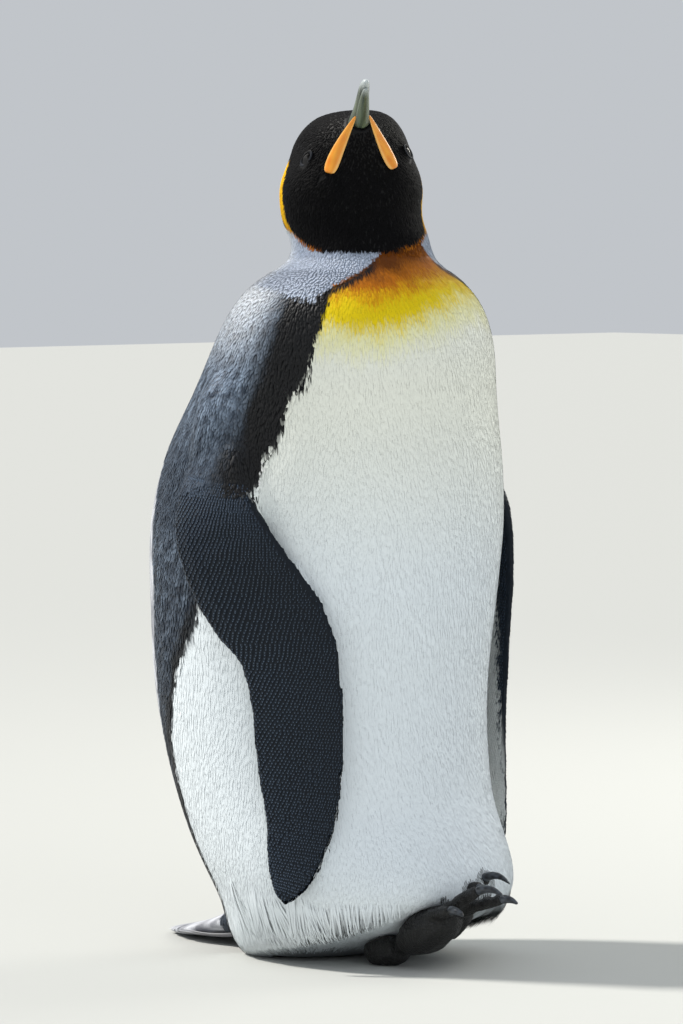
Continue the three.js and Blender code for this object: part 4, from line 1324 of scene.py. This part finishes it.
# %% One tail feather
FEATHER_LENGTH, FEATHER_MAP = 168, 28  # mm, and the breadth that its UV map spans
QUILL_STATIONS = [
    (0, 0, 0, 2.2, 0.9), (20, 0, 0, 4.2, 0.8), (60, 0, 0, 6.4, 0.7), (110, 0, 0, 6.8, 0.6),
    (145, 0, 0, 5, 0.5), (160, 0, 0, 2.6, 0.4), (FEATHER_LENGTH, 0, 0, 0.8, 0.3),
]
SHAFT_STATIONS = [(0, 0, 0.9, 1, 0.8), (80, 0, 0.8, 0.8, 0.6), (164, 0, 0.5, 0.3, 0.3)]
QUILL_HALF = {"ahead": (0, 60, 110, 150, 168), "half": (3, 6, 6.5, 4, 1)}
QUILL_GREY, QUILL_RIM, QUILL_TIP = tint(158, 158, 166), tint(232, 234, 238), tint(214, 216, 222)
SHAFT_DARK = tint(48, 46, 50)

quill = sweep("quill", QUILL_STATIONS, sides=8, levels=1)
shaft = sweep("shaft", SHAFT_STATIONS, sides=6, levels=1)
quill_ahead, quill_aside, _ = points_of(quill.data).T / MM
share = np.abs(quill_aside) / np.interp(quill_ahead, QUILL_HALF["ahead"], QUILL_HALF["half"])
quill_tone = mix(QUILL_GREY, QUILL_RIM, ramp(0.5, 1.0, share))
quill_tone = mix(quill_tone, QUILL_TIP, ramp(148, FEATHER_LENGTH, quill_ahead) * 0.7)
paint(quill.data, quill_tone)
paint(shaft.data, np.tile(SHAFT_DARK, (len(shaft.data.vertices), 1)))
for part in (quill, shaft):
    at = points_of(part.data) / MM
    corner = np.array([loop.vertex_index for loop in part.data.loops])
    while part.data.uv_layers:
        part.data.uv_layers.remove(part.data.uv_layers[0])
    across_and_along = np.stack([0.5 + at[corner, 1] / FEATHER_MAP, at[corner, 0] / FEATHER_LENGTH], 1)
    layer = part.data.uv_layers.new(name="Vane")
    layer.data.foreach_set("uv", across_and_along.astype(np.float32).ravel())
tail_feather = join([quill, shaft], "tail_feather")
print("a tail feather:", len(tail_feather.data.polygons), "faces")

# %% The fan
TAIL_TIPS = {  # where the tips reach: sideways, and back from the plumb line, in mm
    "lower": [
        (-44, 168), (-37, 186), (-27, 205), (-16, 222), (-5, 231),
        (6, 232), (17, 221), (28, 204), (38, 185), (45, 167),
    ],
    "upper": [(-40, 146), (-30, 164), (-18, 180), (-6, 190), (7, 189), (19, 179), (31, 163), (41, 145)],
}
TAIL_ROOTS = {"lower": (62, 21, 0), "upper": (66, 26, 3)}  # back, up, and how much higher the tips lie
TIP_LEVEL = {"back": (120, 174, 234), "up": (17, 9, 3.2)}
FEATHER_BOW = 7 * MM  # how far a feather sags in its middle
FEATHER_STEP, OUTER_TURN = 0.9, 0.35  # mm between neighbours, and radians that the outermost is turned


def set_feather(tip, root_back, root_up, tip_lift, turn):
    """Copies the feather from a root under the rump to a tip."""
    root = place(-root_back, tip[0] * 0.75, root_up)
    level = np.interp(tip[1], TIP_LEVEL["back"], TIP_LEVEL["up"]) + tip_lift
    end = place(-tip[1], tip[0], level)
    reach = (end - root).length / (FEATHER_LENGTH * MM)
    feather = tail_feather.copy()
    feather.data = tail_feather.data.copy()
    bpy.context.scene.collection.objects.link(feather)
    points = points_of(feather.data)
    points[:, 2] -= FEATHER_BOW * np.sin(np.clip(points[:, 0] / (FEATHER_LENGTH * MM), 0, 1) * math.pi)
    points[:, 0] *= reach
    move_points(feather.data, points)
    heading = (end - root).to_track_quat("X", "Z").to_matrix().to_4x4()
    feather.data.transform(Matrix.Translation(root) @ heading @ Matrix.Rotation(turn, 4, "X"))
    return feather


feathers = []
for layer, tips in TAIL_TIPS.items():
    root_back, root_up, tip_lift = TAIL_ROOTS[layer]
    for order, tip in enumerate(tips):
        lift = tip_lift + FEATHER_STEP * (order % 2)
        feathers.append(set_feather(tip, root_back, root_up, lift, tip[0] / 44 * OUTER_TURN))
bpy.data.objects.remove(tail_feather)
tail = join(feathers, "tail_fan")
points = points_of(tail.data)
points[:, 2] = np.maximum(points[:, 2], 0.3 * MM)  # clear of the floor
move_points(tail.data, points)
print("tail feathers:", len(feathers), "box, mm:", (points.min(0) / MM).round(), (points.max(0) / MM).round())

# %% [markdown]
# ## Finishes
# The markings are already painted on the points, so the materials add what is finer than a point: barbs on
# the vanes, scales on the feet, fibres in the horn. Each such effect is a node group, built once and placed
# in several materials with its own values. A group gives a colour, a height for a bump, and a roughness.
# In the barbs and the scales the colour is darker in the grooves: painted shade.

# %% Helpers for node groups and materials
def effect_group(name, settings):
    """A node group with these settings as inputs, and with colour, height and roughness as outputs."""
    group = bpy.data.node_groups.new(name, "ShaderNodeTree")
    for title, value in settings.items():
        group.interface.new_socket(title, in_out="INPUT", socket_type="NodeSocketFloat").default_value = value
    for title, kind in (("Colour", "Color"), ("Height", "Float"), ("Roughness", "Float")):
        group.interface.new_socket(title, in_out="OUTPUT", socket_type="NodeSocket" + kind)
    return group


def node_in(tree, kind, inputs=None, **settings):
    """A shader node with its settings, and with inputs given as values or as the sockets that feed them."""
    node = tree.nodes.new("ShaderNode" + kind)
    for key, value in settings.items():
        setattr(node, key, value)
    for key, value in (inputs or {}).items():
        if isinstance(value, bpy.types.NodeSocket):
            tree.links.new(value, node.inputs[key])
        else:
            node.inputs[key].default_value = value
    return node


def sums(tree, operation, first, second):
    """The result of one sum on two values or sockets."""
    return node_in(tree, "Math", {0: first, 1: second}, operation=operation).outputs[0]


def spread(tree, value, low, high):
    """A value from 0 to 1 spread between low and high."""
    return node_in(tree, "MapRange", {"Value": value, "To Min": low, "To Max": high}).outputs[0]


def shaded(tree, amount):
    """The painted colour, times an amount."""
    painted = node_in(tree, "VertexColor", layer_name="Colour").outputs["Color"]
    scaled = node_in(tree, "VectorMath", {0: painted}, operation="SCALE")
    tree.links.new(amount, scaled.inputs["Scale"])
    return scaled.outputs[0]


# %% Effects
def give(group, colour, height, roughness):
    """Joins the results to the group's outputs."""
    out = group.nodes.new("NodeGroupOutput")
    for title, socket in (("Colour", colour), ("Height", height), ("Roughness", roughness)):
        group.links.new(socket, out.inputs[title])


barbs = effect_group("barbs", {"Barbs": 10, "Depth": 0.2, "Cloud": 0.12, "Roughest": 0.8, "Smoothest": 0.6})
given = barbs.nodes.new("NodeGroupInput").outputs
vane_map = node_in(barbs, "SeparateXYZ", {0: node_in(barbs, "UVMap", uv_map="Vane").outputs[0]}).outputs
from_shaft = sums(barbs, "ABSOLUTE", sums(barbs, "SUBTRACT", vane_map[0], 0.5), 0)
slanted = sums(barbs, "SUBTRACT", vane_map[1], sums(barbs, "MULTIPLY", from_shaft, 0.5))
turns = sums(barbs, "MULTIPLY", sums(barbs, "MULTIPLY", slanted, given["Barbs"]), 2 * math.pi)
ridge = node_in(barbs, "MapRange", {"Value": sums(barbs, "SINE", turns, 0), "From Min": -1}).outputs[0]
place_on_bird = node_in(barbs, "TexCoord").outputs["Object"]
cloudy = node_in(barbs, "TexNoise", {"Vector": place_on_bird, "Scale": 260, "Detail": 2}).outputs[0]
# Darker between the barbs: painted shade in the grooves. The clouding is a random tone.
between = sums(barbs, "SUBTRACT", 1, ridge)
painted_shade_and_tone = sums(barbs, "SUBTRACT", 1.06, sums(barbs, "MULTIPLY", given["Depth"], between))
clouding = sums(barbs, "MULTIPLY", given["Cloud"], spread(barbs, cloudy, -1, 1))
painted_shade_and_tone = sums(barbs, "MULTIPLY", painted_shade_and_tone, sums(barbs, "ADD", clouding, 1))
rough = node_in(barbs, "MapRange", {"Value": cloudy}).outputs[0]
barbs.links.new(given["Smoothest"], rough.node.inputs["To Min"])
barbs.links.new(given["Roughest"], rough.node.inputs["To Max"])
give(barbs, shaded(barbs, painted_shade_and_tone), ridge, rough)

scales = effect_group("scales", {"Scale": 420, "Depth": 0.5})
given = scales.nodes.new("NodeGroupInput").outputs
place_on_bird = node_in(scales, "TexCoord").outputs["Object"]
cells = node_in(
    scales,
    "TexVoronoi",
    {"Vector": place_on_bird, "Scale": given["Scale"], "Randomness": 0.7},
    feature="DISTANCE_TO_EDGE",
)
dome = node_in(scales, "MapRange", {"Value": cells.outputs[0], "From Max": 0.35}).outputs[0]
pits = node_in(scales, "TexNoise", {"Vector": place_on_bird, "Scale": 900, "Detail": 3}).outputs[0]
# Darker towards the scales' edges: painted shade in the grooves between them. The pits add a random tone.
between = sums(scales, "SUBTRACT", 1, dome)
painted_shade_and_tone = sums(scales, "SUBTRACT", 1.1, sums(scales, "MULTIPLY", given["Depth"], between))
painted_shade_and_tone = sums(scales, "MULTIPLY", painted_shade_and_tone, spread(scales, pits, 0.7, 1.3))
height = sums(scales, "ADD", dome, sums(scales, "MULTIPLY", pits, 0.3))
give(scales, shaded(scales, painted_shade_and_tone), height, spread(scales, pits, 0.42, 0.7))

fibres = effect_group("horn fibres", {"Scale": 500, "Depth": 0.2, "Roughest": 0.45, "Smoothest": 0.25})
given = fibres.nodes.new("NodeGroupInput").outputs
along_horn = node_in(
    fibres,
    "Mapping",
    {"Vector": node_in(fibres, "TexCoord").outputs["Object"]},
    vector_type="TEXTURE",
)
along_horn.inputs["Rotation"].default_value = HEAD.to_euler()
along_horn.inputs["Scale"].default_value = (9, 1, 1)
streak = node_in(
    fibres, "TexNoise", {"Vector": along_horn.outputs[0], "Scale": given["Scale"], "Detail": 3}
).outputs[0]
painted_shade_and_tone = sums(fibres, "ADD", sums(fibres, "MULTIPLY", sums(fibres, "SUBTRACT", streak, 0.5), given["Depth"]), 1)
rough = node_in(fibres, "MapRange", {"Value": streak}).outputs[0]
fibres.links.new(given["Smoothest"], rough.node.inputs["To Min"])
fibres.links.new(given["Roughest"], rough.node.inputs["To Max"])
give(fibres, shaded(fibres, painted_shade_and_tone), streak, rough)
print("effects:", ", ".join(group.name for group in (barbs, scales, fibres)))


# %% Materials
def finish_of(name, group, settings, bump, **fixed):
    """A material from an effect group with its own settings, a bump in mm and fixed values of the shader."""
    material = bpy.data.materials.new(name)
    material.use_nodes = True
    tree = material.node_tree
    shader = tree.nodes["Principled BSDF"]
    effect = tree.nodes.new("ShaderNodeGroup")
    effect.node_tree = group
    for key, value in settings.items():
        effect.inputs[key].default_value = value
    relief = node_in(tree, "Bump", {"Height": effect.outputs["Height"], "Distance": bump * MM})
    tree.links.new(effect.outputs["Colour"], shader.inputs["Base Color"])
    tree.links.new(effect.outputs["Roughness"], shader.inputs["Roughness"])
    tree.links.new(relief.outputs[0], shader.inputs["Normal"])
    for key, value in fixed.items():
        shader.inputs[key.replace("_", " ")].default_value = value
    return material


SHEEN = {"Roughest": 0.6, "Smoothest": 0.42}
FINISHES = {
    "plumage_white": finish_of(
        "silk", barbs, {"Barbs": 8, "Depth": 0.05, "Cloud": 0.02}, 0.005, Specular_IOR_Level=0.2
    ),
    "plumage_silver": finish_of(
        "silver scale", barbs, {"Depth": 0.14, **SHEEN}, 0.015, Specular_IOR_Level=0.3
    ),
    "plumage_black": finish_of(
        "velvet", barbs, {"Barbs": 6, "Depth": 0.2}, 0.02, Specular_IOR_Level=0.08
    ),
    "plumage_slate": finish_of(
        "slate scale", barbs, {"Barbs": 6, **SHEEN}, 0.03, Specular_IOR_Level=0.22
    ),
    "foot_skin": finish_of(
        "scaly skin", scales, {"Scale": 330, "Depth": 0.85}, 0.6, Specular_IOR_Level=0.5
    ),
    "claw_horn": finish_of("claw horn", fibres, {"Scale": 700, "Depth": 0.8}, 0.08),
    "bill_horn": finish_of("bill horn", fibres, {"Depth": 0.5}, 0.08, Coat_Weight=0.2),
    "plate_orange": finish_of("orange plate", fibres, {"Depth": 0.12, "Scale": 300}, 0.05, Coat_Weight=0.3),
    "eye_brown": finish_of(
        "wet eye", fibres, {"Scale": 900, "Roughest": 0.3, "Smoothest": 0.2}, 0.01, Coat_Weight=0.4
    ),
    "skin": finish_of(
        "skin under the coat", scales, {"Scale": 900, "Depth": 0.15}, 0.1, Specular_IOR_Level=0.2
    ),
    "lid": finish_of("bare lid", scales, {"Scale": 1400, "Depth": 0.4}, 0.1, Specular_IOR_Level=0.15),
    "quill": finish_of(
        "tail feather", barbs, {"Barbs": 90, "Depth": 0.25, "Roughest": 0.6, "Smoothest": 0.4}, 0.15
    ),
}
print("finishes:", ", ".join(FINISHES))

# %% [markdown]
# ## Handing the pieces over
# Each piece rides on the frame's one body and takes the finish of its slot, or a finish named instead. The
# solids that it replaces are hidden. The skin stands for all the solids that the plumage covers.

# %% Finish, ride and replace
COAT_SLOTS = {
    "silk": "plumage_white",
    "scale": "plumage_silver",
    "head": "plumage_black",
    "flipper": "plumage_slate",
    "hem": "plumage_white",
}


def hand_over(piece, slot, *nodes, finish=None):
    """Gives a piece the finish of its slot or the one named instead, puts it on the body and hides the nodes
    that it stands for.
    """
    piece.data.materials.clear()
    piece.data.materials.append(FINISHES[finish or slot])
    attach(piece, "root")
    if nodes:
        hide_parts(*nodes)


hand_over(skin, "plumage_white", "trunk", "neck", "head", "flipper_right", "flipper_left", finish="skin")
hand_over(tail, "plumage_slate", "tail", finish="quill")
for piece in coat:
    kind = next(kind for kind in COAT_SLOTS if kind in piece.name)
    hand_over(piece, COAT_SLOTS[kind])
hand_over(bill_upper, "bill_horn", "bill_upper")
hand_over(bill_lower, "bill_horn", "bill_lower")
for order, side in enumerate(("right", "left")):
    hand_over(plates[order], "plate_orange", "plate_" + side)
    hand_over(eyes[order], "eye_brown", "eye_" + side)
    hand_over(lids[order], "plumage_black", finish="lid")
    hand_over(feet[order], "foot_skin", "foot_" + side, "leg_" + side)
    hand_over(claws[order], "claw_horn", *(f"claw_{side}_{toe}" for toe in TOE_NAMES))

bpy.context.scene.view_settings.view_transform = "Standard"
print("pieces of the coat:", len(coat))
